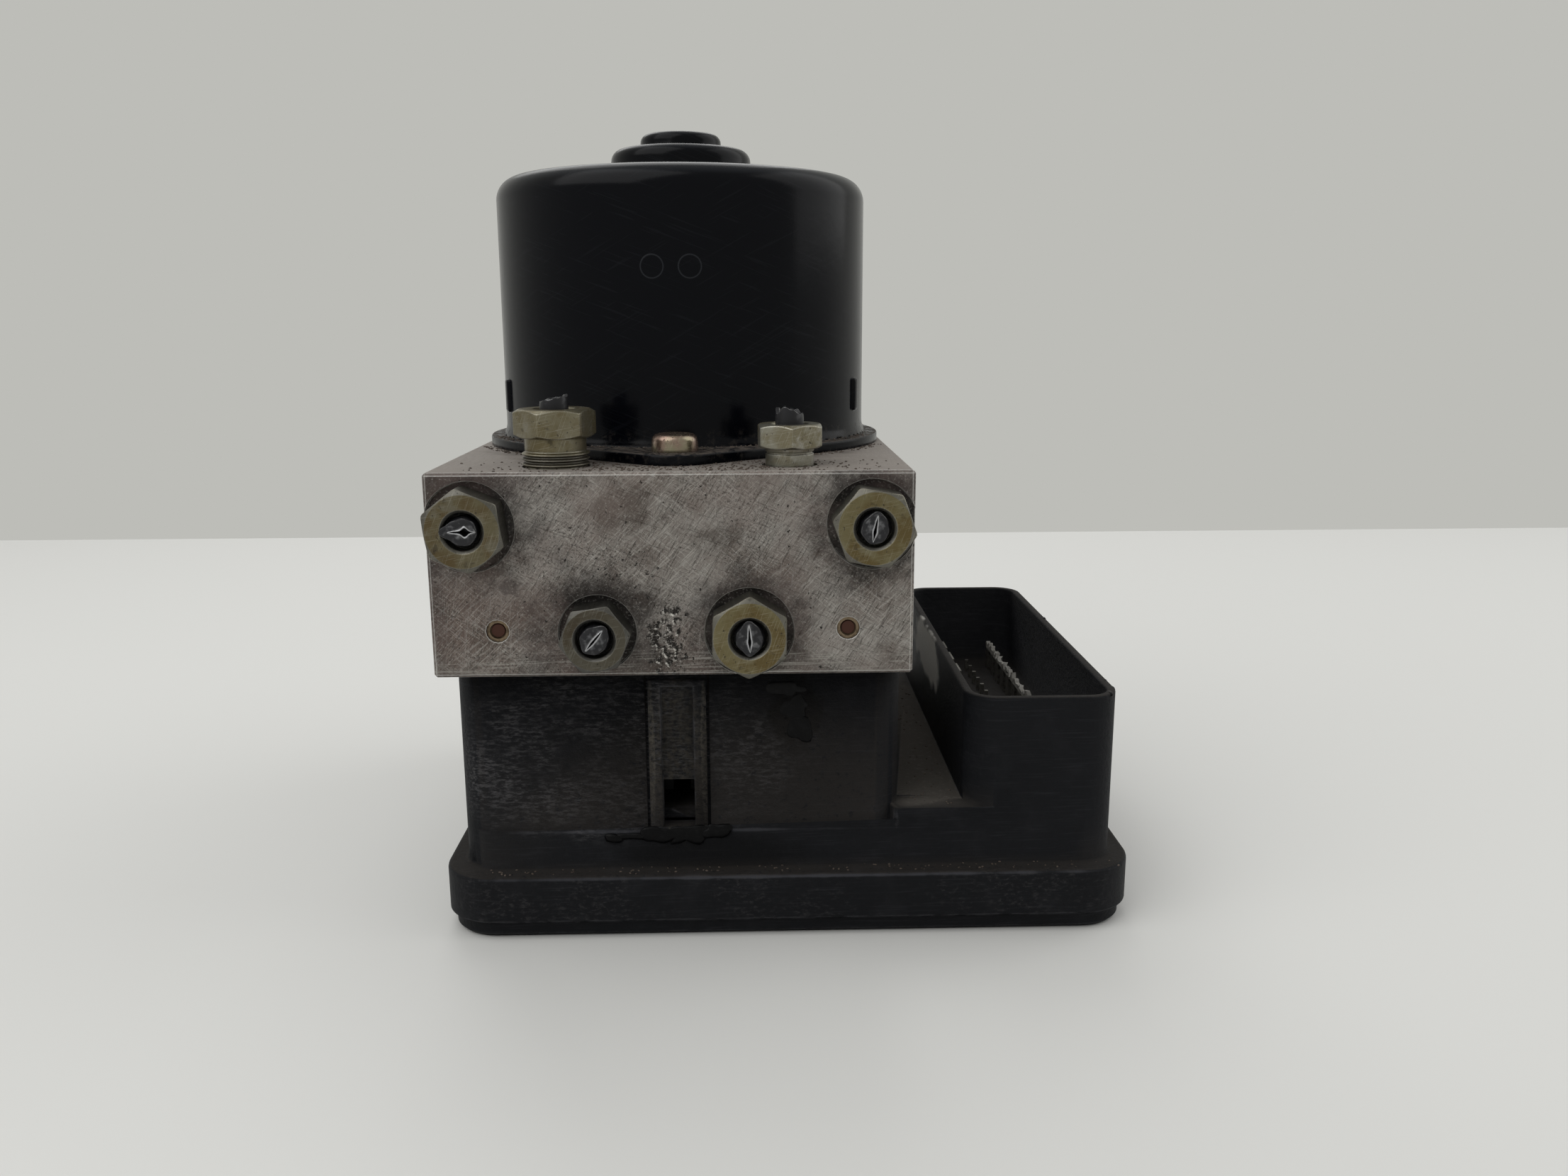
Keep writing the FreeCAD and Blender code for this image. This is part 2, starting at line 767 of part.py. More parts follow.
def build_controller_small_parts():
    cover = new_body("controller_cover")
    plate = add_plate(
        cover, -s.flange_left + s.cover_inset, -s.flange_front + s.cover_inset, 0,
        flange_width - 2 * s.cover_inset, flange_length - 2 * s.cover_inset,
        s.cover_thickness, s.flange_corner - s.cover_inset,
    )
    foot_edges = edges_of(plate, lambda edge: edge.BoundBox.ZMax < 0.01)
    round_edges(cover, plate, foot_edges, s.cover_edge, kind="Chamfer")
    flat_frame(
        "cover_seal", -s.flange_left + s.seal_inset, -s.flange_front + s.seal_inset,
        s.cover_thickness,
        flange_width - 2 * s.seal_inset, flange_length - 2 * s.seal_inset,
        s.seal_thickness, s.seal_width,
    )
    flat_frame(
        "chamber_gasket", -s.chamber_left + s.gasket_inset, -s.chamber_front + s.gasket_inset,
        rim, s.chamber_left + s.chamber_right - 2 * s.gasket_inset,
        s.chamber_front + s.chamber_back - 2 * s.gasket_inset, s.gasket_thickness, s.gasket_width,
    )
    board = new_body("circuit_board")
    inset = s.tray_wall + s.board_margin
    board_base = tray_roof - s.board_thickness
    add_box(
        board, -s.flange_left + inset, -s.flange_front + inset, board_base,
        flange_width - 2 * inset, flange_length - 2 * inset, s.board_thickness,
    )
    size = s.capacitor_size
    for x, y in ((-2 * size, size), (0, -size), (2 * size, -2 * size)):
        add_box(
            board, x, y, board_base - s.capacitor_height, size, size, s.capacitor_height
        )
    rises = [s.pin_rise] * PIN_COUNT + [s.blade_rise] * BLADE_COUNT + [s.power_rise] * POWER_COUNT
    pins = []
    for (x, y, a, b), rise in zip(contact_places(), rises):
        height = socket_floor_top + rise - tray_roof
        pins.append(part_box(x - a / 2, y - b / 2, tray_roof, a, b, height))
    part_group("connector_pins", pins)
    # long screws from under the web into the block
    head_base = web_base - s.controller_screw_head_height
    screws = []
    for x, y in SCREW_CORNERS:
        length = block_base + s.controller_screw_grip - web_base
        shank = part_prism(
            s.hidden_sides, x, y, web_base, s.controller_screw_radius, length
        )
        head = part_prism(
            6, x, y, head_base, s.controller_screw_head, s.controller_screw_head_height
        )
        screws.append(part_fuse([shank, head]))
    part_group("controller_screws", screws)


# Groups of separate solids
def part_prism(sides, x, y, z, radius, height):
    item = doc.addObject("Part::Prism", "prism")
    bind(item, "Polygon", sides)
    bind(item, "Circumradius", radius)
    bind(item, "Height", height)
    locate(item, x, y, z)
    return item


def part_box(x, y, z, length, width, height):
    item = doc.addObject("Part::Box", "box")
    bind(item, "Length", length)
    bind(item, "Width", width)
    bind(item, "Height", height)
    locate(item, x, y, z)
    return item


def part_fuse(items):
    fuse = doc.addObject("Part::MultiFuse", "fuse")
    fuse.Shapes = items
    return fuse


def part_cut(base, tool):
    cut = doc.addObject("Part::Cut", "cut")
    cut.Base = base
    cut.Tool = tool
    return cut


def part_group(node, items):
    """Separate solids that share one node."""
    group = doc.addObject("Part::Compound", node)
    group.Label = node
    group.Links = items
    NODES.append(group)
    return group


# Motor
carrier_top = block_top + s.carrier_thickness
boss_top = s.can_height + s.boss_height
cap_top = boss_top + s.cap_height
eccentric_base = pump_z - s.eccentric_height / 2


def shoulder_points(radius, height, bend, steps):
    """Points on a quarter circle from a can's side to its flat top."""
    points = []
    for n in range(steps + 1):
        angle = 90 * n / steps
        across = Size(f"cos({angle} deg)", math.cos(math.radians(angle)))
        up = Size(f"sin({angle} deg)", math.sin(math.radians(angle)))
        points.append((radius - bend + bend * across, height - bend + bend * up))
    return points


def build_motor_can():
    wall = s.can_wall
    edge = s.boss_edge
    thick = s.motor_flange_thickness
    steps = round(s.shoulder_steps.number)
    body = turned(
        "motor_can",
        [
            (0, 0),
            (s.motor_flange_radius, 0),
            (s.motor_flange_radius, thick),
            (s.can_radius, thick),
            *shoulder_points(s.can_radius, s.can_height, s.can_shoulder, steps),
            (s.boss_radius, s.can_height),
            (s.boss_radius, boss_top),
            (s.cap_radius, boss_top),
            (s.cap_radius, cap_top - edge),
            (s.cap_radius - edge, cap_top),
            (0, cap_top),
        ],
    )
    locate(body, 0, 0, block_top)
    inner_top = s.can_height - wall
    add_rod(body, 0, 0, 0, s.can_radius - wall, inner_top, cut=True, hidden=True)
    add_rod(
        body, 0, 0, inner_top, s.boss_radius - wall, s.boss_height, cut=True, hidden=True
    )
    # two lugs, each flaring from a round tip into the flange
    root = s.can_radius - wall / 2
    tip_half = s.lug_radius * COS_30
    tip_far = s.lug_distance + s.lug_radius / 2
    for half_turn in (0, 1):
        sketch = add_sketch(body, "XY_Plane")
        sketch.AttachmentOffset = FreeCAD.Placement(
            VECTOR(0, 0, 0), ROTATION(VECTOR(0, 0, 1), 180 * half_turn)
        )
        draw_lug(sketch, s.lug_root_half, root, tip_half, tip_far)
        extrude(body, sketch, thick)
        side = 2 * half_turn - 1
        add_rod(body, 0, side * s.lug_distance, 0, s.lug_radius, thick)
        hole = s.screw_radius + s.screw_hole_play
        add_rod(body, 0, side * s.lug_distance, 0, hole, thick, cut=True, hidden=True)


def draw_lug(sketch, root_half, root, tip_half, tip_far):
    """Half outline mirrored: a flared lug that points along the sketch's minus Y."""
    points = [(-1, root_half, root), (1, root_half, root), (1, tip_half, tip_far), (-1, tip_half, tip_far)]
    ends = [VECTOR(side * a.number, -b.number, 0) for side, a, b in points]
    for n in range(4):
        sketch.addGeometry(Part.LineSegment(ends[n], ends[(n + 1) % 4]))
    for n in range(4):
        limit(sketch, "Coincident", n, 2, (n + 1) % 4, 1)
    limit(sketch, "Symmetric", 0, 1, 0, 2, -2)
    limit(sketch, "Symmetric", 2, 1, 2, 2, -2)
    limit(sketch, "DistanceX", 0, 1, 0, 2, size=2 * root_half)
    limit(sketch, "DistanceX", 2, 2, 2, 1, size=2 * tip_half)
    limit(sketch, "DistanceY", 0, 1, -1, 1, size=root)
    limit(sketch, "DistanceY", 2, 1, -1, 1, size=tip_far)


def build_motor_inside():
    build_motor_screws()
    build_magnets()
    # shaft, turned in one piece with its eccentric pin
    shaft_bottom = eccentric_base - s.bearing_play - s.eccentric_throw
    shaft_top = block_top + boss_top - s.can_wall - s.shaft_top_gap
    shaft = rod("motor_shaft", s.shaft_radius, shaft_top - shaft_bottom)
    locate(shaft, 0, 0, shaft_bottom)
    add_rod(
        shaft, s.eccentric_throw, 0, eccentric_base - shaft_bottom,
        s.eccentric_radius, s.eccentric_height, hidden=True,
    )
    race = hidden_ring(
        "eccentric_bearing", s.eccentric_bearing_radius, s.eccentric_radius, s.eccentric_height
    )
    locate(race, s.eccentric_throw, 0, eccentric_base)
    # a flat-sided hole that just takes the round shaft
    snug = s.shaft_radius / Size("cos(180 deg / dims.hidden_sides)", COS_SIDE)
    core = hidden_ring("armature_core", s.core_radius, snug, s.core_height)
    locate(core, 0, 0, block_top + s.core_bottom)
    windings = []
    for base in (s.core_bottom - s.winding_height, s.core_bottom + s.core_height):
        place = (0, 0, block_top + base)
        outer = part_prism(s.hidden_sides, *place, s.winding_outer, s.winding_height)
        inner = part_prism(s.hidden_sides, *place, s.winding_inner, s.winding_height)
        windings.append(part_cut(outer, inner))
    part_group("armature_windings", windings)
    commutator = hidden_ring("commutator", s.commutator_radius, snug, s.commutator_height)
    locate(commutator, 0, 0, block_top + s.commutator_bottom)
    bore = s.shaft_radius + s.bearing_play
    upper = hidden_ring(
        "upper_bearing", s.boss_radius - s.can_wall, bore, s.upper_bearing_height, round_bore=True
    )
    locate(upper, 0, 0, block_top + boss_top - s.can_wall - s.upper_bearing_height)
    lower = hidden_ring(
        "lower_bearing", s.well_radius, bore, s.lower_bearing_height, round_bore=True
    )
    locate(lower, 0, 0, block_top - s.lower_bearing_height)
    build_brush_gear()


def build_motor_screws():
    """Round-headed screws through the can's lugs."""
    screws = []
    seat = block_top + s.motor_flange_thickness
    for side in (-1, 1):
        y = side * s.lug_distance
        head = doc.addObject("Part::Cone", "head")
        bind(head, "Radius1", s.screw_head_radius)
        bind(head, "Radius2", s.screw_head_radius - s.screw_head_round)
        bind(head, "Height", s.screw_head_height)
        locate(head, 0, y, seat)
        shank = part_prism(
            s.hidden_sides, 0, y, thread_top, s.screw_radius, seat - thread_top
        )
        screws.append(part_fuse([head, shank]))
    part_group("motor_screws", screws)


def build_magnets():
    """Two curved magnets glued to the can's wall, left and right."""
    outer = s.can_radius - s.can_wall
    base = block_top + s.magnet_bottom
    rings = [
        part_prism(s.hidden_sides, 0, 0, base, radius, s.magnet_height)
        for radius in (outer, outer - s.magnet_thickness)
    ]
    gap = part_box(
        -s.magnet_gap / 2, -outer, base, s.magnet_gap, 2 * outer, s.magnet_height
    )
    part_group("motor_magnets", [part_cut(part_cut(*rings), gap)])


def build_brush_gear():
    """Moulded carrier on the block's top face, with a box for each brush and its spring."""
    carrier = new_body("brush_carrier")
    radius = s.can_radius - s.can_wall - s.carrier_play
    add_rod(carrier, 0, 0, block_top, radius, s.carrier_thickness, hidden=True)
    brush_inner = s.commutator_radius + s.brush_gap
    brush_z = block_top + s.commutator_bottom + (s.commutator_height - s.brush_height) / 2
    room_y = s.brush_width + 2 * s.slot_play
    room_top = brush_z + s.brush_height + s.slot_play
    holder_top = room_top + s.holder_wall
    holder_y = room_y + 2 * s.holder_wall
    holder_inner = brush_inner + s.holder_wall
    for side in (-1, 1):
        x = holder_inner if side > 0 else -holder_inner - s.brush_room - s.holder_wall
        add_box(
            carrier, x, -holder_y / 2, carrier_top,
            s.brush_room + s.holder_wall, holder_y, holder_top - carrier_top,
        )
        x = holder_inner if side > 0 else -holder_inner - s.brush_room
        add_box(
            carrier, x, -room_y / 2, brush_z, s.brush_room, room_y, room_top - brush_z, cut=True
        )
    add_rod(carrier, 0, 0, block_top, s.carrier_bore, s.carrier_thickness, cut=True, hidden=True)
    for x in terminal_places():
        add_box(
            carrier, x - terminal_slot_x / 2, s.terminal_setback - terminal_slot_y / 2, block_top,
            terminal_slot_x, terminal_slot_y, s.carrier_thickness, cut=True,
        )
    brushes, springs = [], []
    spring_length = holder_inner + s.brush_room - brush_inner - s.brush_length
    spring_z = brush_z + (s.brush_height - s.brush_spring_size) / 2
    for side in (-1, 1):
        x = brush_inner if side > 0 else -brush_inner - s.brush_length
        brushes.append(
            part_box(x, -s.brush_width / 2, brush_z, s.brush_length, s.brush_width, s.brush_height)
        )
        x = brush_inner + s.brush_length if side > 0 else -brush_inner - s.brush_length - spring_length
        size = s.brush_spring_size
        springs.append(part_box(x, -size / 2, spring_z, spring_length, size, size))
    part_group("carbon_brushes", brushes)
    part_group("brush_springs", springs)
    # motor terminals, down through the block to the circuit board
    sleeve = new_body("terminal_sleeve")
    add_rod(
        sleeve, 0, s.terminal_setback, block_base, s.sleeve_radius, s.block_height, hidden=True
    )
    blades = []
    for x in terminal_places():
        add_box(
            sleeve, x - terminal_slot_x / 2, s.terminal_setback - terminal_slot_y / 2, block_base,
            terminal_slot_x, terminal_slot_y, s.block_height, cut=True,
        )
        blades.append(
            part_box(
                x - s.terminal_thickness / 2, s.terminal_setback - s.terminal_width / 2, tray_roof,
                s.terminal_thickness, s.terminal_width,
                block_top + s.terminal_rise - tray_roof,
            )
        )
    part_group("motor_terminals", blades)


# Pump and accumulators
def build_pump():
    inner = s.eccentric_bearing_radius + s.eccentric_throw + s.pump_stand_off
    spring_end = s.block_width / 2 - s.plug_length
    for side, aim in (("left", "-X"), ("right", "X")):
        sign = SIDES[side]
        piston = rod(f"pump_piston_{side}", s.pump_bore_radius, s.pump_piston_length, hidden=True)
        locate(piston, sign * inner, 0, pump_z, AIM[aim])
        start = inner + s.pump_piston_length
        spring = hidden_ring(
            f"pump_spring_{side}", s.pump_spring_radius,
            s.pump_spring_radius - s.pump_spring_wire, spring_end - start,
        )
        locate(spring, sign * start, 0, pump_z, AIM[aim])
        plug = rod(f"pump_plug_{side}", s.plug_radius, s.plug_length)
        locate(plug, sign * spring_end, 0, pump_z, AIM[aim])


def build_accumulators():
    bore_end = block_back - s.accumulator_depth
    piston_y = bore_end + s.accumulator_rest_gap
    cap_outer = block_back - s.accumulator_cap_recess
    cap_inner = cap_outer - s.accumulator_cap_thickness
    spring_start = piston_y + s.accumulator_piston_length
    for side, sign in SIDES.items():
        x = sign * s.accumulator_spacing / 2
        radius = s.accumulator_radius - s.accumulator_play
        piston = rod(
            f"accumulator_piston_{side}", radius, s.accumulator_piston_length, hidden=True
        )
        locate(piston, x, piston_y, accumulator_z, AIM["Y"])
        spring = hidden_ring(
            f"accumulator_spring_{side}", s.accumulator_spring_radius,
            s.accumulator_spring_radius - s.accumulator_spring_wall, cap_inner - spring_start,
        )
        locate(spring, x, spring_start, accumulator_z, AIM["Y"])
        cap = rod(
            f"accumulator_cap_{side}", s.accumulator_radius, s.accumulator_cap_thickness
        )
        locate(cap, x, cap_inner, accumulator_z, AIM["Y"])


# Valves and their coils
def build_valves():
    domes = {"inlet": s.inlet_dome, "outlet": s.outlet_dome}
    for kind, y in VALVE_ROWS.items():
        coils = []
        for number, column in enumerate(VALVE_COLUMNS, start=1):
            x = column * s.valve_pitch
            dome = domes[kind]
            valve = rod(
                f"{kind}_valve_{number}", s.valve_radius, dome + s.valve_depth, hidden=True
            )
            locate(valve, x, y, block_base - dome)
            coils.append(coil(x, y))
        part_group(f"{kind}_coils", coils)


def coil(x, y):
    """A wound bobbin between two square yoke plates."""
    base = web_base + s.web_thickness
    width, plate = s.coil_width, s.coil_plate
    sides = s.hidden_sides / 2
    pieces = [
        part_box(x - width / 2, y - width / 2, base, width, width, plate),
        part_box(x - width / 2, y - width / 2, base + s.coil_height - plate, width, width, plate),
        part_prism(sides, x, y, base, s.coil_winding_radius, s.coil_height),
    ]
    hole = part_prism(sides, x, y, base, s.valve_radius + s.coil_play, s.coil_height)
    return part_cut(part_fuse(pieces), hole)


# Pipe nuts and cut pipes
def pipe_nut(node, hexagon, lift, height, thread, thread_top_z, neck, turn):
    """A nut on the Z axis with the block's face at zero: hexagon, neck and thread."""
    body = new_body(node)
    length = s.nut_thread_length + thread_top_z
    out_of_sight = thread_top_z.number <= 0
    add_rod(body, 0, 0, -s.nut_thread_length, thread, length, hidden=out_of_sight)
    if neck is not None:
        add_rod(body, 0, 0, thread_top_z, neck, lift - thread_top_z)
    add_hexagon(body, lift, hexagon, height, turn)
    length = s.nut_thread_length + lift + height
    start = -s.nut_thread_length
    add_rod(body, 0, 0, start, s.nut_bore_radius, length, cut=True, hidden=True)
    return body


def cut_pipe(node, top, slit_turn):
    """The end of a coated steel pipe, cut off and pinched to a slit."""
    body = new_body(node)
    depth = s.port_depth
    add_rod(body, 0, 0, -depth, s.pipe_radius, top + depth)
    slit = body.newObject("PartDesign::SubtractiveBox", "slit")
    width = s.pipe_radius * 1.5
    bind(slit, "Length", width)
    bind(slit, "Width", s.pipe_slit)
    bind(slit, "Height", s.pipe_slit_depth)
    turn = ROTATION(VECTOR(0, 0, 1), slit_turn)
    corner = turn.multVec(VECTOR(1, 0, 0))
    slit.Placement = FreeCAD.Placement(VECTOR(0, 0, 0), turn)
    bind(slit, "Placement.Base.x", -width / 2 * corner.x + s.pipe_slit / 2 * corner.y)
    bind(slit, "Placement.Base.y", -width / 2 * corner.y - s.pipe_slit / 2 * corner.x)
    bind(slit, "Placement.Base.z", top - s.pipe_slit_depth)
    return body


def build_nuts_and_pipes():
    slits = {"upper_left": 0, "upper_right": 80, "lower_left": 50, "lower_right": 90}
    for name, (x, rise, size, turn) in PORTS.items():
        z = block_base + rise
        nut = pipe_nut(
            f"outlet_nut_{name}", HEXES[size], -s.spot_face_depth, s.hex_height,
            THREADS[size], -s.spot_face_depth, None, turn,
        )
        locate(nut, x, block_front, z, AIM["-Y"])
        top = s.hex_height - s.spot_face_depth + s.front_pipe_rise
        pipe = cut_pipe(f"outlet_pipe_{name}", top, slits[name])
        locate(pipe, x, block_front, z, AIM["-Y"])
    left = pipe_nut(
        "inlet_nut_left", s.large_hex, s.left_nut_lift, s.inlet_hex_height,
        THREADS["large"], s.left_thread_show, s.left_neck_radius, 3,
    )
    right = pipe_nut(
        "inlet_nut_right", s.small_hex, s.right_nut_lift, s.right_hex_height,
        THREADS["small"], -s.spot_face_depth, s.right_neck_radius, 33,
    )
    left_pipe = cut_pipe(
        "inlet_pipe_left", s.left_nut_lift + s.inlet_hex_height + s.left_pipe_rise, 10
    )
    right_pipe = cut_pipe(
        "inlet_pipe_right", s.right_nut_lift + s.right_hex_height + s.right_pipe_rise, 140
    )
    for side, pieces in (("left", (left, left_pipe)), ("right", (right, right_pipe))):
        for piece in pieces:
            locate(piece, INLETS[side][0], inlet_y, block_top)
    plugs = []
    length = s.bore_plug_depth - s.bore_plug_recess
    for sign in SIDES.values():
        x, z = sign * s.plug_half_spacing, block_base + s.plug_rise
        plug = part_prism(
            s.hidden_sides, x, block_front + s.bore_plug_recess, z, s.bore_plug_radius, length
        )
        plug.Placement.Rotation = AIM["Y"]
        plugs.append(plug)
    part_group("bore_plugs", plugs)


build_block()
build_housing()
build_controller_small_parts()
build_motor_can()
build_motor_inside()
build_pump()
build_accumulators()
build_valves()
build_nuts_and_pipes()
doc.recompute()

# Every object is sound before anything is written
for item in doc.Objects:
    if "Invalid" in item.State or "Error" in item.State:
        raise RuntimeError(f"{item.Name} failed: {item.State}")
    if hasattr(item, "Shape") and item in NODES:
        if item.Shape.isNull() or not item.Shape.isValid() or not item.Shape.Solids:
            raise RuntimeError(f"{item.Label} has no sound shape")

os.makedirs("parts", exist_ok=True)
for node in NODES:
    node.Shape.exportStep(f"parts/{node.Label}.step")
    print(node.Label, len(node.Shape.Solids), round(node.Shape.Volume, 1))
print("nodes", len(NODES))
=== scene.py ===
# %% [markdown]
# This lesson dresses a brake control module that was cut out of a car: an aluminium valve block,
# a black motor can on top of it, and a black plastic controller below with an open plug socket.
# The sizes and places come from the solid model, which loads as a frame of plain parts. This
# script gives them their real surfaces, and swaps the simple ones for finer shapes.

import math
import random

import bmesh
import bpy
from mathutils import Matrix, Vector, noise


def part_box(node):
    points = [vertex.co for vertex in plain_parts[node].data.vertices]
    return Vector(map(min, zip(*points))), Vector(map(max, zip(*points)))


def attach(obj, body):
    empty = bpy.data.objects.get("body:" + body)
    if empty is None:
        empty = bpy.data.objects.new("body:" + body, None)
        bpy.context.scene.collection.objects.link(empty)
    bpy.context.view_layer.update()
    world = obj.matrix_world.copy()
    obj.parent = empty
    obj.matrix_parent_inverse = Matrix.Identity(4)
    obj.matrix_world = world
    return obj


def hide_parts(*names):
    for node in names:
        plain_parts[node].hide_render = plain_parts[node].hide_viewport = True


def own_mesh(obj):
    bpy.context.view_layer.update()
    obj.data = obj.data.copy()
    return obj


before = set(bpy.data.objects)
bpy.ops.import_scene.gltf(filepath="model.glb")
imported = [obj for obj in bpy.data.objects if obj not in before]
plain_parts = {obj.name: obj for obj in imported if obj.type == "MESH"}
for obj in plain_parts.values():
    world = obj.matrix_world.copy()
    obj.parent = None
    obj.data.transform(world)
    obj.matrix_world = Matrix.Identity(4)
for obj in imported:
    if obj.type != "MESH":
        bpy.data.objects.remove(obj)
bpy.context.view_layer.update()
MM = 0.001
print(len(plain_parts), "plain parts loaded")

# %% [markdown]
# The camera stands a little above the unit and looks slightly down at it, as the photograph does.
# It could be placed by hand in the viewport, but a written direction is exact and can be read:
# a turn to the right, a tilt downwards and a very small roll, each in degrees.

# %% The camera
def aim_camera(place, turn, tilt, roll, lens):
    """A camera at a place in metres, turned, tilted and rolled by angles in degrees."""
    turn, tilt, roll = (math.radians(a) for a in (turn, tilt, roll))
    ahead = Vector((math.sin(turn) * math.cos(tilt), math.cos(turn) * math.cos(tilt), -math.sin(tilt)))
    level = ahead.cross(Vector((0, 0, 1))).normalized()
    upward = level.cross(ahead)
    right = level * math.cos(roll) + upward * math.sin(roll)
    top = upward * math.cos(roll) - level * math.sin(roll)
    data = bpy.data.cameras.new("camera")
    data.lens = lens
    data.sensor_width = 36.0
    data.clip_start = 0.01
    camera = bpy.data.objects.new("camera", data)
    axes = Matrix((right, top, -ahead)).transposed()
    camera.matrix_world = Matrix.Translation(place) @ axes.to_4x4()
    bpy.context.scene.collection.objects.link(camera)
    bpy.context.scene.camera = camera


aim_camera((0.01343, -0.27301, 0.11219), turn=1.64, tilt=12.24, roll=-0.19, lens=28.48)
print("camera placed")

# %% [markdown]
# Colours are written as they look on a screen, from 0 to 255. Shaders work with light, where the
# steps are not even, so each number is turned into light by the screen's own curve.

# %% Colours as seen on a screen
def paint(red, green, blue):
    """A screen colour as the light values that a shader takes."""
    def light(step):
        part = step / 255.0
        return part / 12.92 if part <= 0.04045 else ((part + 0.055) / 1.055) ** 2.4

    return (light(red), light(green), light(blue), 1.0)


print("mid grey is", round(paint(128, 128, 128)[0], 3), "in light")

# %% [markdown]
# Every pattern below is a small net of nodes, and a few helpers keep the nets short to read. One
# puts a node down and fills or links its inputs, one does a step of arithmetic, and one makes a
# cloudy texture. The last maps a value from one range to another with a soft start and end, which
# is how a cloud becomes a mask with a clear border.

# %% Putting nodes down
def put(tree, kind, inputs=None, **settings):
    """A node of that kind, with its settings made and its inputs filled or linked."""
    node = tree.nodes.new(kind)
    for name, value in settings.items():
        setattr(node, name, value)
    for name, value in (inputs or {}).items():
        if isinstance(value, bpy.types.NodeSocket):
            tree.links.new(value, node.inputs[name])
        else:
            node.inputs[name].default_value = value
    return node


def reckon(tree, operation, first, second=0.0):
    """The result of one step of arithmetic on two values."""
    return put(tree, "ShaderNodeMath", {0: first, 1: second}, operation=operation).outputs[0]


def cloud(tree, place, scale, detail, fine=0.5, curl=0.0):
    """A cloudy texture at a place, with values from 0 to 1."""
    inputs = {"Vector": place, "Scale": scale, "Detail": detail, "Roughness": fine, "Distortion": curl}
    return put(tree, "ShaderNodeTexNoise", inputs).outputs[0]


def soft_step(tree, value, start, end, low=0.0, high=1.0):
    """A value that rises softly from low to high between start and end."""
    ends = {"Value": value, "From Min": start, "From Max": end, "To Min": low, "To Max": high}
    return put(tree, "ShaderNodeMapRange", ends, interpolation_type="SMOOTHSTEP").outputs["Result"]


print("node helpers ready")

# %% [markdown]
# An effect that several finishes share is a node group: it is built once, and placed in each
# material with values of its own. The groups below hand out only masks and directions, so the
# shader itself stays in plain sight in each material.

# %% A new node group
def new_group(title, numbers, vectors=(), results=("Mask",)):
    """An empty node group with named inputs, and the two nodes where it is entered and left."""
    tree = bpy.data.node_groups.new(title, "ShaderNodeTree")
    for kind, inputs in (("NodeSocketFloat", numbers), ("NodeSocketVector", vectors)):
        for name, value in inputs:
            socket = tree.interface.new_socket(name=name, in_out="INPUT", socket_type=kind)
            socket.default_value = value
    for name in results:
        kind = "NodeSocketVector" if name == "Normal" else "NodeSocketFloat"
        tree.interface.new_socket(name=name, in_out="OUTPUT", socket_type=kind)
    return tree, tree.nodes.new("NodeGroupInput"), tree.nodes.new("NodeGroupOutput")


print("groups can be opened")

# %% [markdown]
# Stains, worn paint and patches of oxide are clouds with a border. One group makes them all: a
# noise texture in the part's own coordinates, in metres, stretched along any axis that is wanted.

# %% Blotches
def make_blotches():
    numbers = (("Scale", 100.0), ("Start", 0.45), ("End", 0.6), ("Fine", 0.6))
    vectors = (("Stretch", (1.0, 1.0, 1.0)), ("Shift", (0.0, 0.0, 0.0)))
    tree, entry, leave = new_group("blotches", numbers, vectors)
    inputs = entry.outputs
    place = put(tree, "ShaderNodeTexCoord").outputs["Object"]
    moves = {"Vector": place, "Scale": inputs["Stretch"], "Location": inputs["Shift"]}
    place = put(tree, "ShaderNodeMapping", moves).outputs[0]
    haze = cloud(tree, place, inputs["Scale"], 7.0, inputs["Fine"])
    mask = soft_step(tree, haze, inputs["Start"], inputs["End"])
    tree.links.new(mask, leave.inputs["Mask"])


make_blotches()
print("blotches ready")

# %% [markdown]
# The block and the plastic carry fine straight scratches that cross each other. A scratch is a
# cloud drawn out thirty times along one direction, so the coordinates are first turned by the
# scratch's angle about the front-to-back axis, and then squeezed along it.

# %% Scratches
def make_scratches():
    numbers = (("Scale", 1200.0), ("Angle", 0.0), ("Start", 0.58), ("End", 0.66))
    tree, entry, leave = new_group("scratches", numbers)
    inputs = entry.outputs
    place = put(tree, "ShaderNodeTexCoord").outputs["Object"]
    turn = {"Vector": place, "Axis": (0.0, 1.0, 0.0), "Angle": inputs["Angle"]}
    place = put(tree, "ShaderNodeVectorRotate", turn, rotation_type="AXIS_ANGLE").outputs[0]
    place = put(tree, "ShaderNodeMapping", {"Vector": place, "Scale": (0.035, 0.035, 1.0)}).outputs[0]
    streak = cloud(tree, place, inputs["Scale"], 2.0, fine=0.55, curl=0.25)
    mask = soft_step(tree, streak, inputs["Start"], inputs["End"])
    tree.links.new(mask, leave.inputs["Mask"])


make_scratches()
print("scratches ready")

# %% [markdown]
# Some marks belong to one place: the grime round a nut, the worn bare patch on the socket. This
# group answers how far a point is from the middle of an ellipsoid, with a cloud added so that the
# border is ragged instead of drawn with a compass.

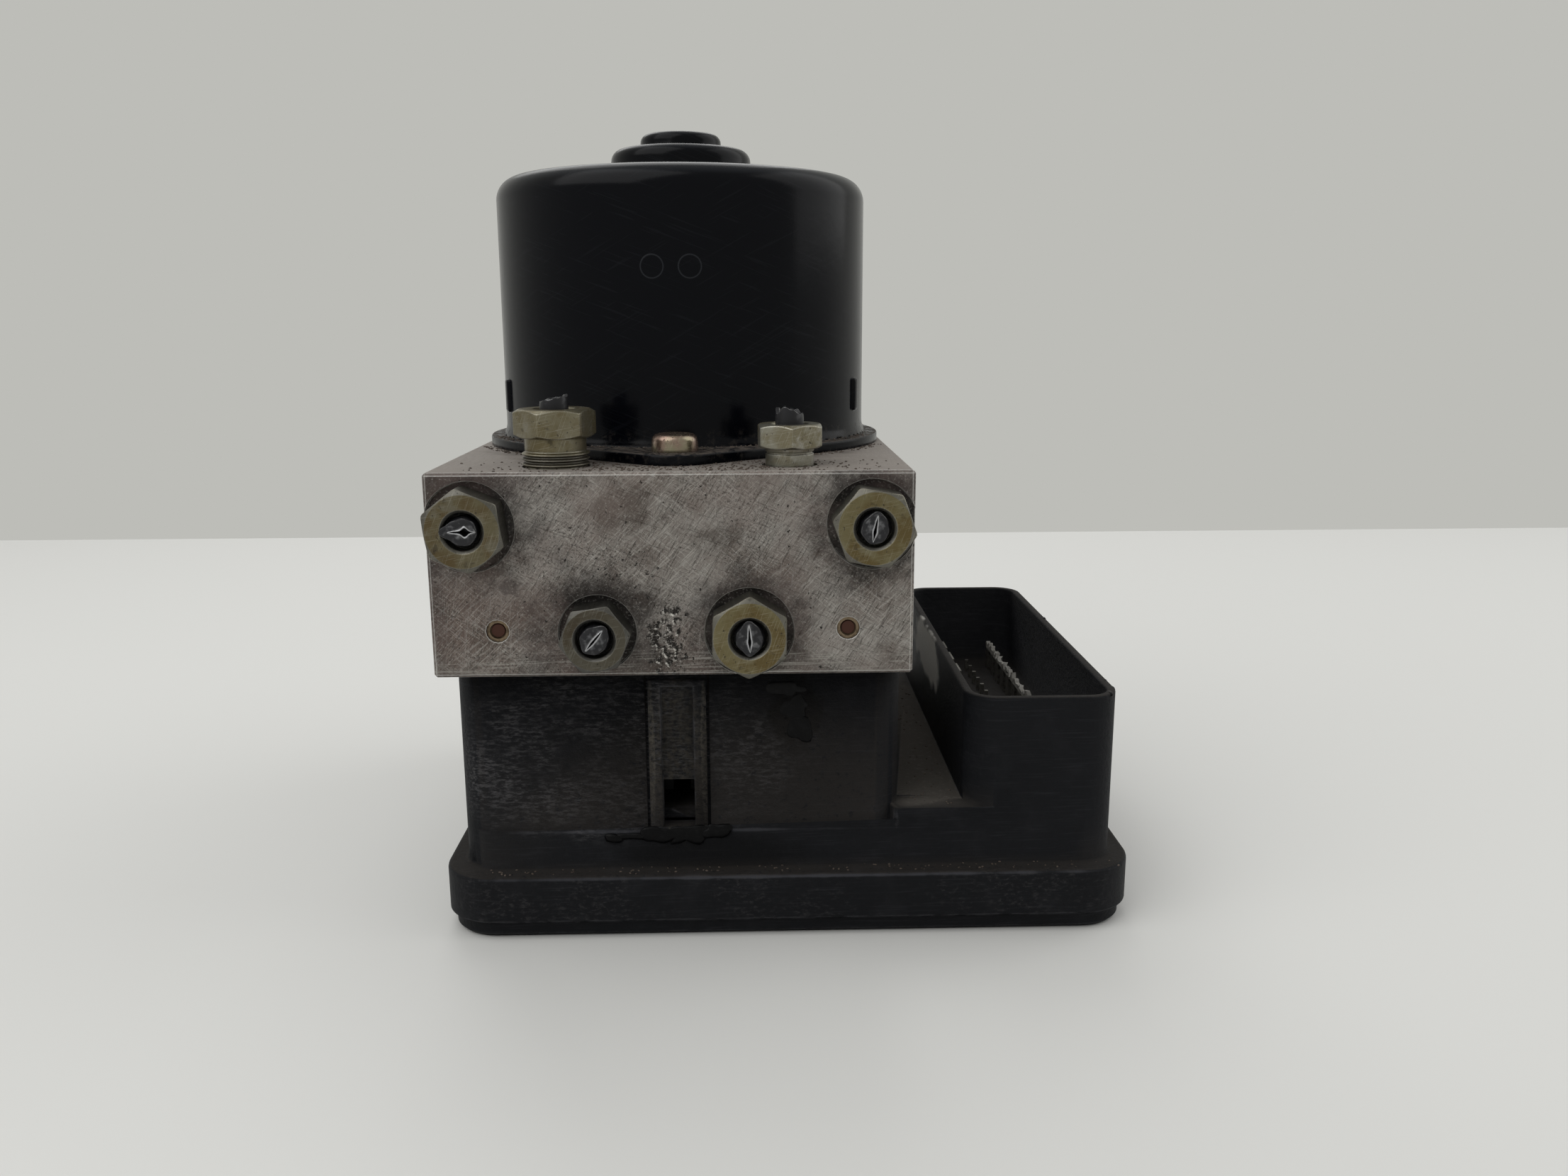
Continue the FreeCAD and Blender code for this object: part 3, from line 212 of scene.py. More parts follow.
# %% A patch at one place
def make_patch():
    numbers = (("Ragged", 0.5), ("Soft", 0.5), ("Scale", 250.0))
    vectors = (("Centre", (0, 0, 0)), ("Size", (1, 1, 1)))
    tree, entry, leave = new_group("patch", numbers, vectors)
    inputs = entry.outputs
    place = put(tree, "ShaderNodeTexCoord").outputs["Object"]
    away = place
    for operation, other in (("SUBTRACT", inputs["Centre"]), ("DIVIDE", inputs["Size"])):
        away = put(tree, "ShaderNodeVectorMath", {0: away, 1: other}, operation=operation).outputs[0]
    away = put(tree, "ShaderNodeVectorMath", {0: away}, operation="LENGTH").outputs["Value"]
    haze = cloud(tree, place, inputs["Scale"], 6.0)
    drift = reckon(tree, "MULTIPLY", reckon(tree, "SUBTRACT", haze, 0.5), inputs["Ragged"])
    away = reckon(tree, "ADD", away, drift)
    inner = reckon(tree, "SUBTRACT", 1.0, inputs["Soft"])
    mask = soft_step(tree, away, inner, 1.0, 1.0, 0.0)
    tree.links.new(mask, leave.inputs["Mask"])


make_patch()
print("patches ready")

# %% [markdown]
# Dust lies on what faces up. The surface's own direction says where that is, and a fine cloud
# thins the dust out so that the part still shows through it.

# %% Settled dust
def make_dust():
    numbers = (("Scale", 600.0), ("Cover", 0.5), ("Steep", 0.8))
    tree, entry, leave = new_group("settled dust", numbers)
    inputs = entry.outputs
    facing = put(tree, "ShaderNodeNewGeometry").outputs["Normal"]
    upward = put(tree, "ShaderNodeSeparateXYZ", {0: facing}).outputs["Z"]
    tilted = reckon(tree, "SUBTRACT", inputs["Steep"], 0.25)
    upward = soft_step(tree, upward, tilted, inputs["Steep"])
    place = put(tree, "ShaderNodeTexCoord").outputs["Object"]
    haze = cloud(tree, place, inputs["Scale"], 8.0, fine=0.68)
    bare = reckon(tree, "SUBTRACT", 0.82, reckon(tree, "MULTIPLY", inputs["Cover"], 0.6))
    haze = soft_step(tree, haze, reckon(tree, "SUBTRACT", bare, 0.16), bare)
    tree.links.new(reckon(tree, "MULTIPLY", upward, haze), leave.inputs["Mask"])


make_dust()
print("dust ready")

# %% [markdown]
# Handling polishes metal and plastic first along its edges. Cycles can round an edge only in the
# shading, with the Bevel node. The more the rounded direction departs from the real one, the
# nearer the point is to an edge, so one node gives both a soft edge and a mask for its wear.

# %% Worn edges
def make_edges():
    numbers = (("Radius", 0.0004), ("Start", 0.02), ("End", 0.2))
    tree, entry, leave = new_group("worn edges", numbers, results=("Mask", "Normal"))
    inputs = entry.outputs
    rounded = put(tree, "ShaderNodeBevel", {"Radius": inputs["Radius"]}, samples=4).outputs[0]
    facing = put(tree, "ShaderNodeNewGeometry").outputs["Normal"]
    pair = {0: rounded, 1: facing}
    alike = put(tree, "ShaderNodeVectorMath", pair, operation="DOT_PRODUCT").outputs["Value"]
    apart = reckon(tree, "SUBTRACT", 1.0, alike)
    mask = soft_step(tree, apart, inputs["Start"], inputs["End"])
    tree.links.new(mask, leave.inputs["Mask"])
    tree.links.new(rounded, leave.inputs["Normal"])


make_edges()
print("edge wear ready")

# %% [markdown]
# A finish is built like a painted surface: a plain start, and layers over it, each let through by
# a mask. This small class keeps the colour, roughness and metal reached so far, and joins them to
# the shader at the end. Values that never change stay plain numbers on the shader itself.

# %% Building a finish in layers
class Finish:
    """A material under work: a plain start and the layers laid over it."""

    colour_slots = (6, 7, 2)
    number_slots = (2, 3, 0)

    def __init__(self, title, colour, roughness, metal=0.0, ior=1.45):
        self.material = bpy.data.materials.new(title)
        self.material.use_nodes = True
        self.tree = self.material.node_tree
        self.shader = self.tree.nodes["Principled BSDF"]
        self.shader.inputs["IOR"].default_value = ior
        self.so_far = {"Base Color": colour, "Roughness": roughness, "Metallic": metal}
        self.facing = None

    def place_group(self, group, values):
        """A shared group, placed in this material with its own values."""
        node = self.tree.nodes.new("ShaderNodeGroup")
        node.node_tree = bpy.data.node_groups[group]
        for name, value in values.items():
            node.inputs[name].default_value = value
        return node

    def mask(self, group, **values):
        """The mask of a shared group, made with its own values."""
        return self.place_group(group, values).outputs["Mask"]

    def patch(self, centre, size, ragged, soft, scale=250.0):
        """The mask of one place. Its centre and its half sizes are in millimetres."""
        centre = tuple(part * MM for part in centre)
        size = tuple(part * MM for part in size)
        return self.mask("patch", Centre=centre, Size=size, Ragged=ragged, Soft=soft, Scale=scale)

    def both(self, first, second):
        """Where two masks overlap, or a mask thinned by a number."""
        return reckon(self.tree, "MULTIPLY", first, second)

    def lay(self, mask, share=None, colour=None, roughness=None, metal=None):
        """Lays a colour, a roughness or a metal look over what is there, where the mask is.

        The share thins the mask. It is a number, or a second mask.
        """
        if share is not None:
            mask = self.both(mask, share)
        wanted = {"Base Color": colour, "Roughness": roughness, "Metallic": metal}
        for name, value in wanted.items():
            if value is None:
                continue
            under, over, result = self.colour_slots if name == "Base Color" else self.number_slots
            kind = "RGBA" if name == "Base Color" else "FLOAT"
            ends = {0: mask, under: self.so_far[name], over: value}
            self.so_far[name] = put(self.tree, "ShaderNodeMix", ends, data_type=kind).outputs[result]

    def soften_edges(self, radius, start=0.02, end=0.2):
        """Rounds the edges in the shading, and hands back the mask of where they are."""
        node = self.place_group("worn edges", {"Radius": radius, "Start": start, "End": end})
        self.facing = node.outputs["Normal"]
        return node.outputs["Mask"]

    def relief(self, height, depth, strength=1.0):
        """Makes a mask stand up from the surface by a depth in metres."""
        values = {"Strength": strength, "Distance": depth, "Height": height}
        bump = put(self.tree, "ShaderNodeBump", values)
        if self.facing is not None:
            self.tree.links.new(self.facing, bump.inputs["Normal"])
        self.facing = bump.outputs[0]

    def done(self):
        """Joins what was reached to the shader, and hands the material back."""
        for name, value in self.so_far.items():
            if isinstance(value, bpy.types.NodeSocket):
                self.tree.links.new(value, self.shader.inputs[name])
            else:
                self.shader.inputs[name].default_value = value
        if self.facing is not None:
            self.tree.links.new(self.facing, self.shader.inputs["Normal"])
        return self.material


print("finishes can be built")

# %% [markdown]
# The valve block is sawn and milled aluminium, dull from years under a bonnet. One painted picture
# could hold all its marks, but a layer for each kind of mark can be moved or thinned by itself.
# The first layers are brown clouds, and over them lie scratches in six directions that cross.

# %% Aluminium: clouds and scratches
SCRATCHES = (
    (0.78, 5600.0, (190, 187, 181), 0.5),
    (-0.72, 4900.0, (184, 181, 175), 0.46),
    (1.05, 6400.0, (44, 40, 36), 0.6),
    (-0.35, 5800.0, (50, 45, 41), 0.52),
    (1.45, 5100.0, (172, 169, 164), 0.32),
    (0.62, 2400.0, (186, 184, 178), 0.28),
)


def cloud_and_scratch(work):
    """Brown clouds, and pale and dark scratches over them."""
    clouds = work.mask("blotches", Scale=55.0, Start=0.38, End=0.66)
    work.lay(clouds, 0.75, paint(116, 106, 100), roughness=0.6)
    brown = work.mask("blotches", Scale=38.0, Start=0.5, End=0.68, Shift=(3.0, 1.0, 7.0))
    work.lay(brown, 0.75, paint(94, 78, 68), roughness=0.64, metal=0.5)
    for angle, scale, shade, share in SCRATCHES:
        streaks = work.mask("scratches", Scale=scale, Angle=angle, Start=0.55, End=0.66)
        work.lay(streaks, share, paint(*shade))


print(len(SCRATCHES), "directions of scratches")

# %% [markdown]
# Oil and dust stay where no cloth reaches: in a ragged halo round each pipe nut, on the sheltered
# metal just above it, and in the block's corners. The halo is broken up by a finer cloud, because
# real grime flakes off in bits. The round recess of each nut is darkened as painted shade.

# %% Aluminium: grime round the nuts, and painted shade in their recesses
FRONT = -60.0
NUT_PLACES = {
    "upper_left": (-35.0, 77.2),
    "upper_right": (35.0, 77.2),
    "lower_left": (-13.4, 58.1),
    "lower_right": (13.4, 58.1),
}
CORNERS = ((-33.0, 85.0, 15.0, 6.0), (38.0, 84.5, 9.0, 6.0), (-42.0, 62.0, 4.0, 12.0))


def grime_round_nuts(work):
    """Dark grime round the nuts, painted shade in their recesses, and brown corners."""
    for across, up in NUT_PLACES.values():
        halo = work.patch((across, FRONT, up), (14.8, 12.0, 14.8), ragged=1.1, soft=0.6, scale=180.0)
        broken = work.mask("blotches", Scale=520.0, Start=0.3, End=0.62, Fine=0.75)
        broken = soft_step(work.tree, broken, 0.0, 1.0, 0.35, 1.0)
        work.lay(halo, work.both(broken, 0.9), paint(32, 25, 21), roughness=0.7, metal=0.2)
        above = (across - 0.6, FRONT, up + 5.2)
        above = work.patch(above, (8.8, 12.0, 5.2), ragged=0.6, soft=0.6, scale=320.0)
        work.lay(above, 0.8, paint(30, 24, 21), roughness=0.75, metal=0.1)
        # Painted shade: the floor of each nut's round recess is darkened, where shade falls into it.
        recess_shade = work.patch((across, -59.2, up), (8.8, 0.7, 8.8), ragged=0.1, soft=0.2)
        work.lay(recess_shade, 0.8, paint(20, 17, 15), roughness=0.85, metal=0.1)
    for across, up, wide, tall in CORNERS:
        corner = work.patch((across, FRONT, up), (wide, 10.0, tall), ragged=1.0, soft=0.8, scale=160.0)
        work.lay(corner, 0.55, paint(70, 58, 56), roughness=0.66, metal=0.4)


print("grime at", len(NUT_PLACES), "nuts and", len(CORNERS), "corners")

# %% [markdown]
# The rest of the front has a dark smudge, a band of grime above the controller, brown and pinkish
# clouds of other sizes, and the pale level lines that the saw left near the foot.

# %% Aluminium: smudges and saw lines
def smudge_and_saw(work):
    """A smudge, a band of grime, more clouds, and saw lines near the foot."""
    smudge = work.patch((-28.5, FRONT, 66.5), (2.3, 4.0, 1.8), ragged=1.6, soft=0.5, scale=700.0)
    work.lay(smudge, 0.75, paint(48, 46, 46), roughness=0.5, metal=0.4)
    grime = work.patch((0.0, FRONT, 50.5), (60.0, 20.0, 5.0), ragged=1.2, soft=0.8)
    work.lay(grime, 0.45, paint(60, 52, 45), roughness=0.7, metal=0.3)
    shade = work.mask("blotches", Scale=95.0, Start=0.52, End=0.7, Shift=(9.0, 4.0, 2.0))
    work.lay(shade, 0.6, paint(66, 56, 50), roughness=0.62)
    pink = work.mask("blotches", Scale=70.0, Start=0.46, End=0.66, Shift=(6.0, 2.0, 8.0))
    work.lay(pink, 0.3, paint(128, 112, 106))
    sawn = work.patch((0.0, FRONT, 51.5), (300.0, 10.0, 4.2), ragged=0.5, soft=0.5)
    lines = work.mask("scratches", Scale=3000.0, Angle=0.03, Start=0.5, End=0.66)
    work.lay(sawn, work.both(lines, 0.6), paint(158, 155, 148), roughness=0.45)


print("front marks ready")

# %% [markdown]
# The front has been knocked about: a column of nicks stands near the middle, with more to its
# left. The floor of each nick is darkened as painted shade, and beside it a painted highlight stands
# for a lit flake of metal, so the bright cloud is the dark one moved by less than half a millimetre.
# Pits and fine grain cover the whole block.

# %% Aluminium: nicks with painted shade and highlights, grain and pits
def nick_front(work):
    """Nicks with painted shade in them and painted highlights beside them. Hands back the mask of the
    nicks.
    """
    low = work.patch((-1.2, FRONT, 55.5), (4.6, 4.0, 11.5), ragged=1.2, soft=0.8)
    high = work.patch((-8.5, FRONT, 67.5), (11.5, 4.0, 8.5), ragged=1.4, soft=0.9)
    beside = (0.00025, 0.0, 0.00035)
    chips = work.mask("blotches", Scale=780.0, Start=0.5, End=0.54, Fine=0.75)
    glints = work.mask("blotches", Scale=780.0, Start=0.53, End=0.57, Fine=0.75, Shift=beside)
    few = work.mask("blotches", Scale=1000.0, Start=0.57, End=0.6, Fine=0.72, Shift=(4.0, 0.0, 4.0))
    # Painted highlight: a bright flake beside each nick, offset from the dark mask as lit metal would be.
    flake_highlights = soft_step(work.tree, work.both(low, glints), 0.35, 0.6, 0.0, 0.8)
    work.lay(flake_highlights, colour=paint(226, 223, 216), roughness=0.35, metal=0.9)
    # Painted shade: the floors of the nicks are darkened.
    nick_shade = reckon(work.tree, "MAXIMUM", work.both(low, chips), work.both(high, few))
    nick_shade = soft_step(work.tree, nick_shade, 0.2, 0.4)
    work.lay(nick_shade, colour=paint(24, 20, 17), roughness=0.85, metal=0.1)
    return nick_shade


def pit_metal(work):
    """Dark and bright grain, and pits. Hands back the mask of the pits."""
    grain = work.mask("blotches", Scale=1900.0, Start=0.5, End=0.62, Fine=0.75, Shift=(7.0, 7.0, 7.0))
    where = work.mask("blotches", Scale=60.0, Start=0.36, End=0.6, Shift=(1.0, 8.0, 3.0))
    work.lay(grain, work.both(where, 0.75), paint(46, 39, 34), roughness=0.7, metal=0.4)
    bright = work.mask("blotches", Scale=2300.0, Start=0.54, End=0.64, Fine=0.75, Shift=(2.0, 7.0, 5.0))
    work.lay(bright, 0.4, paint(196, 193, 186), roughness=0.4, metal=0.9)
    pits = work.mask("blotches", Scale=1100.0, Start=0.64, End=0.67, Shift=(5.0, 5.0, 5.0))
    work.lay(pits, colour=paint(34, 29, 25), roughness=0.8, metal=0.2)
    return pits


print("nicks and pits ready")

# %% [markdown]
# The block's top is brown with dust, and dirt is baked on round the motor's flange. Dust goes over
# the marks below it, and the pale worn edges go over the dust, because handling rubs them clean.

# %% Finish: dull stained aluminium
def dust_top(work):
    """Dust on all that faces up, and a dark crust near the motor."""
    dirt = work.mask("settled dust", Scale=420.0, Cover=0.95, Steep=0.9)
    work.lay(dirt, 0.85, paint(143, 136, 129), roughness=0.75, metal=0.2)
    crust = work.mask("settled dust", Scale=1500.0, Cover=0.7, Steep=0.9)
    near = work.patch((0.0, -12.0, 86.6), (41.0, 46.0, 20.0), ragged=0.5, soft=0.35, scale=150.0)
    work.lay(crust, work.both(near, 0.85), paint(58, 51, 45), roughness=0.95, metal=0.0)


def make_aluminium():
    work = Finish("aluminium", paint(146, 141, 136), 0.5, metal=0.8)
    edges = work.soften_edges(0.00028, 0.015, 0.1)
    cloud_and_scratch(work)
    grime_round_nuts(work)
    smudge_and_saw(work)
    nick_shade = nick_front(work)
    pits = pit_metal(work)
    dust_top(work)
    work.lay(edges, 0.85, paint(238, 237, 233), roughness=0.35, metal=0.7)
    work.relief(pits, -0.0002, 0.6)
    work.relief(nick_shade, -0.00012, 0.35)
    work.relief(work.mask("blotches", Scale=2600.0, Start=0.3, End=0.7), 0.00003, 0.5)
    return work.done()


ALUMINIUM = make_aluminium()
print("aluminium ready")

# %% [markdown]
# The motor can is pressed steel under smooth black paint. It is almost all gloss: a dark colour,
# low roughness, a few hair-fine scuffs, dust on the flange, and a pale bloom of dirt where the
# first step of the bearing boss meets the top. Two shallow round marks are a disc less its core.

# %% Finish: glossy black can paint
def make_can_paint():
    work = Finish("can paint", paint(5, 6, 11), 0.17, ior=1.21)
    work.soften_edges(0.0005)
    for scale, angle, start, end, share in (
        (1900.0, 0.5, 0.62, 0.7, 0.05),
        (2600.0, -0.35, 0.6, 0.68, 0.06),
    ):
        scuffs = work.mask("scratches", Scale=scale, Angle=angle, Start=start, End=end)
        work.lay(scuffs, share, paint(60, 62, 68), roughness=0.5)
    haze = work.mask("blotches", Scale=60.0, Start=0.45, End=0.75)
    work.lay(haze, 0.4, roughness=0.34)
    for across in (-3.9, 3.1):
        middle = (across, -38.0, 121.7)
        disc = work.patch(middle, (2.3, 10.0, 2.3), ragged=0.0, soft=0.08)
        core = work.patch(middle, (2.1, 10.0, 2.1), ragged=0.0, soft=0.1)
        ring = reckon(work.tree, "SUBTRACT", disc, core)
        work.lay(ring, 0.55, paint(52, 54, 58), roughness=0.5)
        work.relief(disc, 0.00005, 0.6)
    foot = work.patch((0.0, 0.0, 140.4), (19.0, 19.0, 1.6), ragged=0.55, soft=0.35, scale=500.0)
    work.lay(foot, 0.55, paint(128, 131, 132), roughness=0.85)
    dust = work.mask("settled dust", Scale=520.0, Cover=0.45, Steep=0.85)
    low = work.patch((0.0, 0.0, 86.6), (1000.0, 1000.0, 6.0), ragged=0.3, soft=0.4)
    work.lay(dust, work.both(low, 0.8), paint(88, 80, 72), roughness=0.95)
    dirt = work.mask("blotches", Scale=700.0, Start=0.5, End=0.72)
    work.lay(dirt, work.both(low, 0.4), paint(60, 55, 50), roughness=0.9)
    film = work.mask("settled dust", Scale=130.0, Cover=0.75, Steep=0.7)
    work.lay(film, 0.12, paint(70, 74, 80), roughness=0.6)
    work.relief(work.mask("blotches", Scale=320.0, Start=0.2, End=0.8), 0.00002, 0.4)
    return work.done()


CAN_PAINT = make_can_paint()
print("can paint ready")

# %% [markdown]
# The pipe nuts are zinc plated, and the plating has gone olive and brown, with black specks and
# bright metal where spanners touched the edges. The motor's screws carry the warmer yellow plating,
# which shifts from green to pink as it thins. On the front nuts a grey reflection is painted on the
# flanks, which one mask tells from the ends by the direction that they face, and shade is painted
# into their bores. The thread of the left top nut is darkened as painted shade in its grooves.

# %% Plating: tones, specks, worn edges, and painted reflection and shade
def paint_flank_reflection_and_bore_shade(work, shade):
    """Paints a grey reflection on what doesn't face the viewer, and painted shade into the bores of the
    front nuts.
    """
    # Painted reflection: faces turned away from the viewer get a grey tone, as if the grey room shone in
    # them.
    facing = put(work.tree, "ShaderNodeNewGeometry").outputs["Normal"]
    ahead = put(work.tree, "ShaderNodeSeparateXYZ", {0: facing}).outputs["Y"]
    sides = soft_step(work.tree, ahead, -0.98, -0.9)
    work.lay(sides, 0.85, shade, roughness=0.36)
    for across, up in NUT_PLACES.values():
        # Painted shade: the bore of each front nut is darkened.
        bore = work.patch((across, -61.8, up), (3.7, 3.4, 3.7), ragged=0.05, soft=0.1)
        work.lay(bore, colour=paint(12, 11, 10), roughness=0.8, metal=0.1)


def make_plating(title, base, warm, cool, speck, bright, shift, gloss=0.4, flank_reflection=None):
    """Plating in two tones over a base, with specks, smears and bright edges, painted shade in the left
    top nut's thread, and a painted reflection on the flanks when a flank colour is given.
    """
    work = Finish(title, paint(*base), gloss, metal=0.9)
    edges = work.soften_edges(0.00035)
    first = work.mask("blotches", Scale=150.0, Start=0.42, End=0.6, Shift=shift)
    work.lay(first, 0.85, paint(*warm), roughness=gloss + 0.06)
    other = (shift[1], shift[2], shift[0])
    second = work.mask("blotches", Scale=240.0, Start=0.52, End=0.66, Shift=other)
    work.lay(second, 0.7, paint(*cool), roughness=gloss - 0.02)
    if flank_reflection:
        paint_flank_reflection_and_bore_shade(work, paint(*flank_reflection))
    for angle in (0.2, 1.2):
        streaks = work.mask("scratches", Scale=6500.0, Angle=angle, Start=0.56, End=0.7)
        work.lay(streaks, 0.22, paint(*bright), roughness=0.34)
    specks = work.mask("blotches", Scale=1500.0, Start=0.62, End=0.69)
    work.lay(specks, 0.8, paint(*speck), roughness=0.8, metal=0.2)
    smears = work.mask("blotches", Scale=420.0, Start=0.6, End=0.7, Shift=(2.0, 8.0, 4.0))
    work.lay(smears, 0.45, paint(*speck), roughness=0.7, metal=0.35)
    # Painted shade: the thread of the left top nut is darkened, as shade between its turns.
    thread_shade = work.patch((-20.9, -50.0, 87.9), (7.5, 7.5, 2.0), ragged=0.2, soft=0.2)
    work.lay(thread_shade, 0.9, paint(38, 32, 26), roughness=0.6, metal=0.5)
    work.lay(edges, 0.75, paint(*bright), roughness=0.3, metal=1.0)
    work.relief(specks, -0.00008, 0.6)
    return work.done()


print("plating can be aged")

# %% [markdown]
# The nuts and the screws have aged differently, so the same recipe is used six times. The five
# colours are the base, a warm and a cool tone, the specks, and the bare metal on the edges. The
# next three numbers move the clouds, and the last colour is the painted grey reflection on the
# flanks of the front nuts.

# %% The six platings
ZINC = make_plating(
    "zinc",
    (104, 97, 76), (90, 76, 52), (112, 108, 94), (34, 29, 22), (172, 169, 154),
    (1.0, 2.0, 3.0),
    flank_reflection=(96, 95, 91),
)
OLIVE_ZINC = make_plating(
    "olive zinc",
    (114, 106, 78), (98, 84, 54), (122, 116, 94), (40, 34, 24), (182, 178, 158),
    (3.0, 6.0, 2.0),
    flank_reflection=(108, 107, 103),
)
DARK_ZINC = make_plating(
    "dark zinc",
    (84, 80, 70), (72, 64, 52), (96, 94, 86), (30, 27, 22), (160, 158, 150),
    (7.0, 3.0, 5.0),
    flank_reflection=(88, 87, 84),
)
GREY_ZINC = make_plating(
    "grey zinc",
    (124, 118, 98), (106, 96, 70), (138, 134, 122), (40, 35, 28), (190, 187, 174),
    (5.0, 5.0, 1.0),
)
SILVER_ZINC = make_plating(
    "worn zinc",
    (148, 146, 134), (120, 112, 88), (166, 164, 156), (44, 39, 33), (206, 204, 196),
    (4.0, 1.0, 2.0),
)
YELLOW_ZINC = make_plating(
    "yellow zinc",
    (148, 140, 118), (146, 120, 110), (134, 136, 108), (56, 46, 34), (226, 216, 198),
    (2.0, 5.0, 1.0),
    gloss=0.2,
)
print("plating ready")

# %% [markdown]
# The controller and its socket are one moulding in black glass-filled plastic. Its walls are dark
# and smooth, and the panels are scuffed to a mottled grey in level streaks: a fine cloud drawn out
# sideways to nearly four times its width, and thinned by a broad one. A line along the flange is
# worn pale, and small flecks lie along the flange. A pale line along the plinth's top edge is a
# painted highlight, and the plinth's foot is darkened as painted shade.

# %% Moulding: scuffs, worn lines, a painted highlight and painted shade
def scuff_panels(work):
    """Level grey streaks on the panels, faint clouds, and painted shade at the plinth's foot."""
    level = (0.28, 1.0, 1.0)
    mottle = work.mask("blotches", Scale=2400.0, Start=0.44, End=0.64, Fine=0.7, Stretch=level)
    broad = work.mask("blotches", Scale=80.0, Start=0.3, End=0.6, Shift=(2.0, 2.0, 5.0))
    panels = work.patch((-12.0, -56.0, 34.0), (46.0, 12.0, 19.0), ragged=0.5, soft=0.45)
    scuffs = work.both(mottle, broad)
    work.lay(scuffs, work.both(panels, 0.75), paint(86, 85, 86), roughness=0.72)
    faint = work.mask("blotches", Scale=120.0, Start=0.5, End=0.75, Shift=(1.0, 6.0, 2.0))
    work.lay(faint, 0.4, paint(38, 38, 41), roughness=0.62)
    streaks = work.mask("scratches", Scale=3600.0, Angle=0.02, Start=0.54, End=0.74)
    work.lay(streaks, 0.2, paint(60, 60, 64), roughness=0.6)
    # Painted shade: a dark band at the plinth's foot, just above the flange.
    foot = work.patch((6.0, -56.8, 14.5), (24.0, 4.0, 5.6), ragged=0.5, soft=0.6)
    work.lay(foot, 0.7, paint(8, 8, 9), roughness=0.7)


def wear_and_highlight_lines(work, front):
    """A worn pale line along the flange, a painted highlight along the plinth, and flecks along the
    flange.
    """
    flange = ((20.0, front, 11.9), 90.0, 0.5)
    # The flange's line is wear; the plinth's line is a painted highlight on its top edge.
    plinth_highlight = ((0.0, -56.8, 19.3), 40.0, 0.35)
    for middle, reach, share in (flange, plinth_highlight):
        worn_and_lit_line = work.patch(middle, (reach, 0.9, 0.45), ragged=1.6, soft=0.8, scale=180.0)
        work.lay(worn_and_lit_line, share, paint(82, 82, 87), roughness=0.5)
    low = work.patch((20.0, front, 8.0), (300.0, 3.0, 6.0), ragged=0.2, soft=0.2)
    flat = {"Stretch": (0.5, 1.0, 1.0), "Shift": (4.0, 1.0, 1.0)}
    flecks = work.mask("blotches", Scale=1500.0, Start=0.5, End=0.66, Fine=0.75, **flat)
    broad = work.mask("blotches", Scale=70.0, Start=0.42, End=0.62, Shift=(5.0, 2.0, 1.0))
    flecks = work.both(flecks, broad)
    work.lay(low, work.both(flecks, 0.6), paint(62, 61, 62), roughness=0.7)


print("scuffs ready")

# %% [markdown]
# The ribs of the channel are broken and pale, and the plastic beside them has melted dark. The
# ledges hold brown dust, and a wall of the socket has a bare pale patch worn by another part. Each
# is a patch at its place, and the roughest of them also stands up in the shading.

# %% Finish: scuffed black moulding
def roughen_ribs(work):
    """Broken ribs and the melted place. Hands back the mask of the broken skin."""
    ribs = work.patch((0.0, -55.6, 33.0), (6.2, 4.0, 17.0), ragged=0.35, soft=0.25)
    rough = work.mask("blotches", Scale=900.0, Start=0.35, End=0.68, Fine=0.75)
    work.lay(rough, work.both(ribs, 0.8), paint(66, 62, 56), roughness=0.9)
    melt = work.patch((21.5, -55.2, 41.5), (6.0, 4.0, 8.5), ragged=1.1, soft=0.4, scale=400.0)
    work.lay(melt, 0.8, paint(10, 10, 11), roughness=0.4)
    for across in (-4.9, 4.9):
        rib = work.patch((across, -56.2, 34.0), (0.9, 2.0, 16.0), ragged=0.2, soft=0.3, scale=700.0)
        work.lay(rough, work.both(rib, 0.9), paint(92, 88, 80), roughness=0.9)
    return rough


def dust_ledges(work):
    """Brown dust on the shelf and the ledges, dark dots, and the bare patch in the socket."""
    dust = work.mask("settled dust", Scale=520.0, Cover=0.85, Steep=0.9)
    shelf = work.patch((48.0, -20.0, 23.1), (12.5, 60.0, 2.2), ragged=0.25, soft=0.3)
    work.lay(dust, work.both(shelf, 0.95), paint(102, 98, 92), roughness=0.95)
    ledge = work.mask("settled dust", Scale=900.0, Cover=0.6, Steep=0.85)
    work.lay(ledge, 0.45, paint(58, 54, 50), roughness=0.9)
    dots = work.mask("blotches", Scale=1700.0, Start=0.66, End=0.7, Shift=(3.0, 3.0, 1.0))
    work.lay(dots, 0.65, paint(22, 20, 19), roughness=0.9)
    bare = work.patch((53.3, -4.0, 38.5), (1.2, 24.0, 6.2), ragged=1.3, soft=0.3, scale=120.0)
    work.lay(bare, 0.9, paint(214, 212, 204), roughness=0.6)


def make_moulding():
    work = Finish("housing plastic", paint(20, 21, 24), 0.5, ior=1.2)
    edges = work.soften_edges(0.0006, 0.02, 0.25)
    scuff_panels(work)
    wear_and_highlight_lines(work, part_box("controller_housing")[0][1] / MM)
    rough = roughen_ribs(work)
    dust_ledges(work)
    thin = work.mask("blotches", Scale=260.0, Start=0.35, End=0.6)
    work.lay(edges, work.both(thin, 0.75), paint(96, 96, 100), roughness=0.5)
    work.relief(rough, 0.00022, 0.5)
    return work.done()


HOUSING_PLASTIC = make_moulding()
print("moulding ready")

# %% [markdown]
# The cut brake pipes are steel with a black coating, and the cutter's jaws left bare silver along
# their rims. All four rims stand at one depth, so one flat wide patch finds them. The two small
# plugs in the block's front have gone copper brown in the middle, which takes a patch for each.

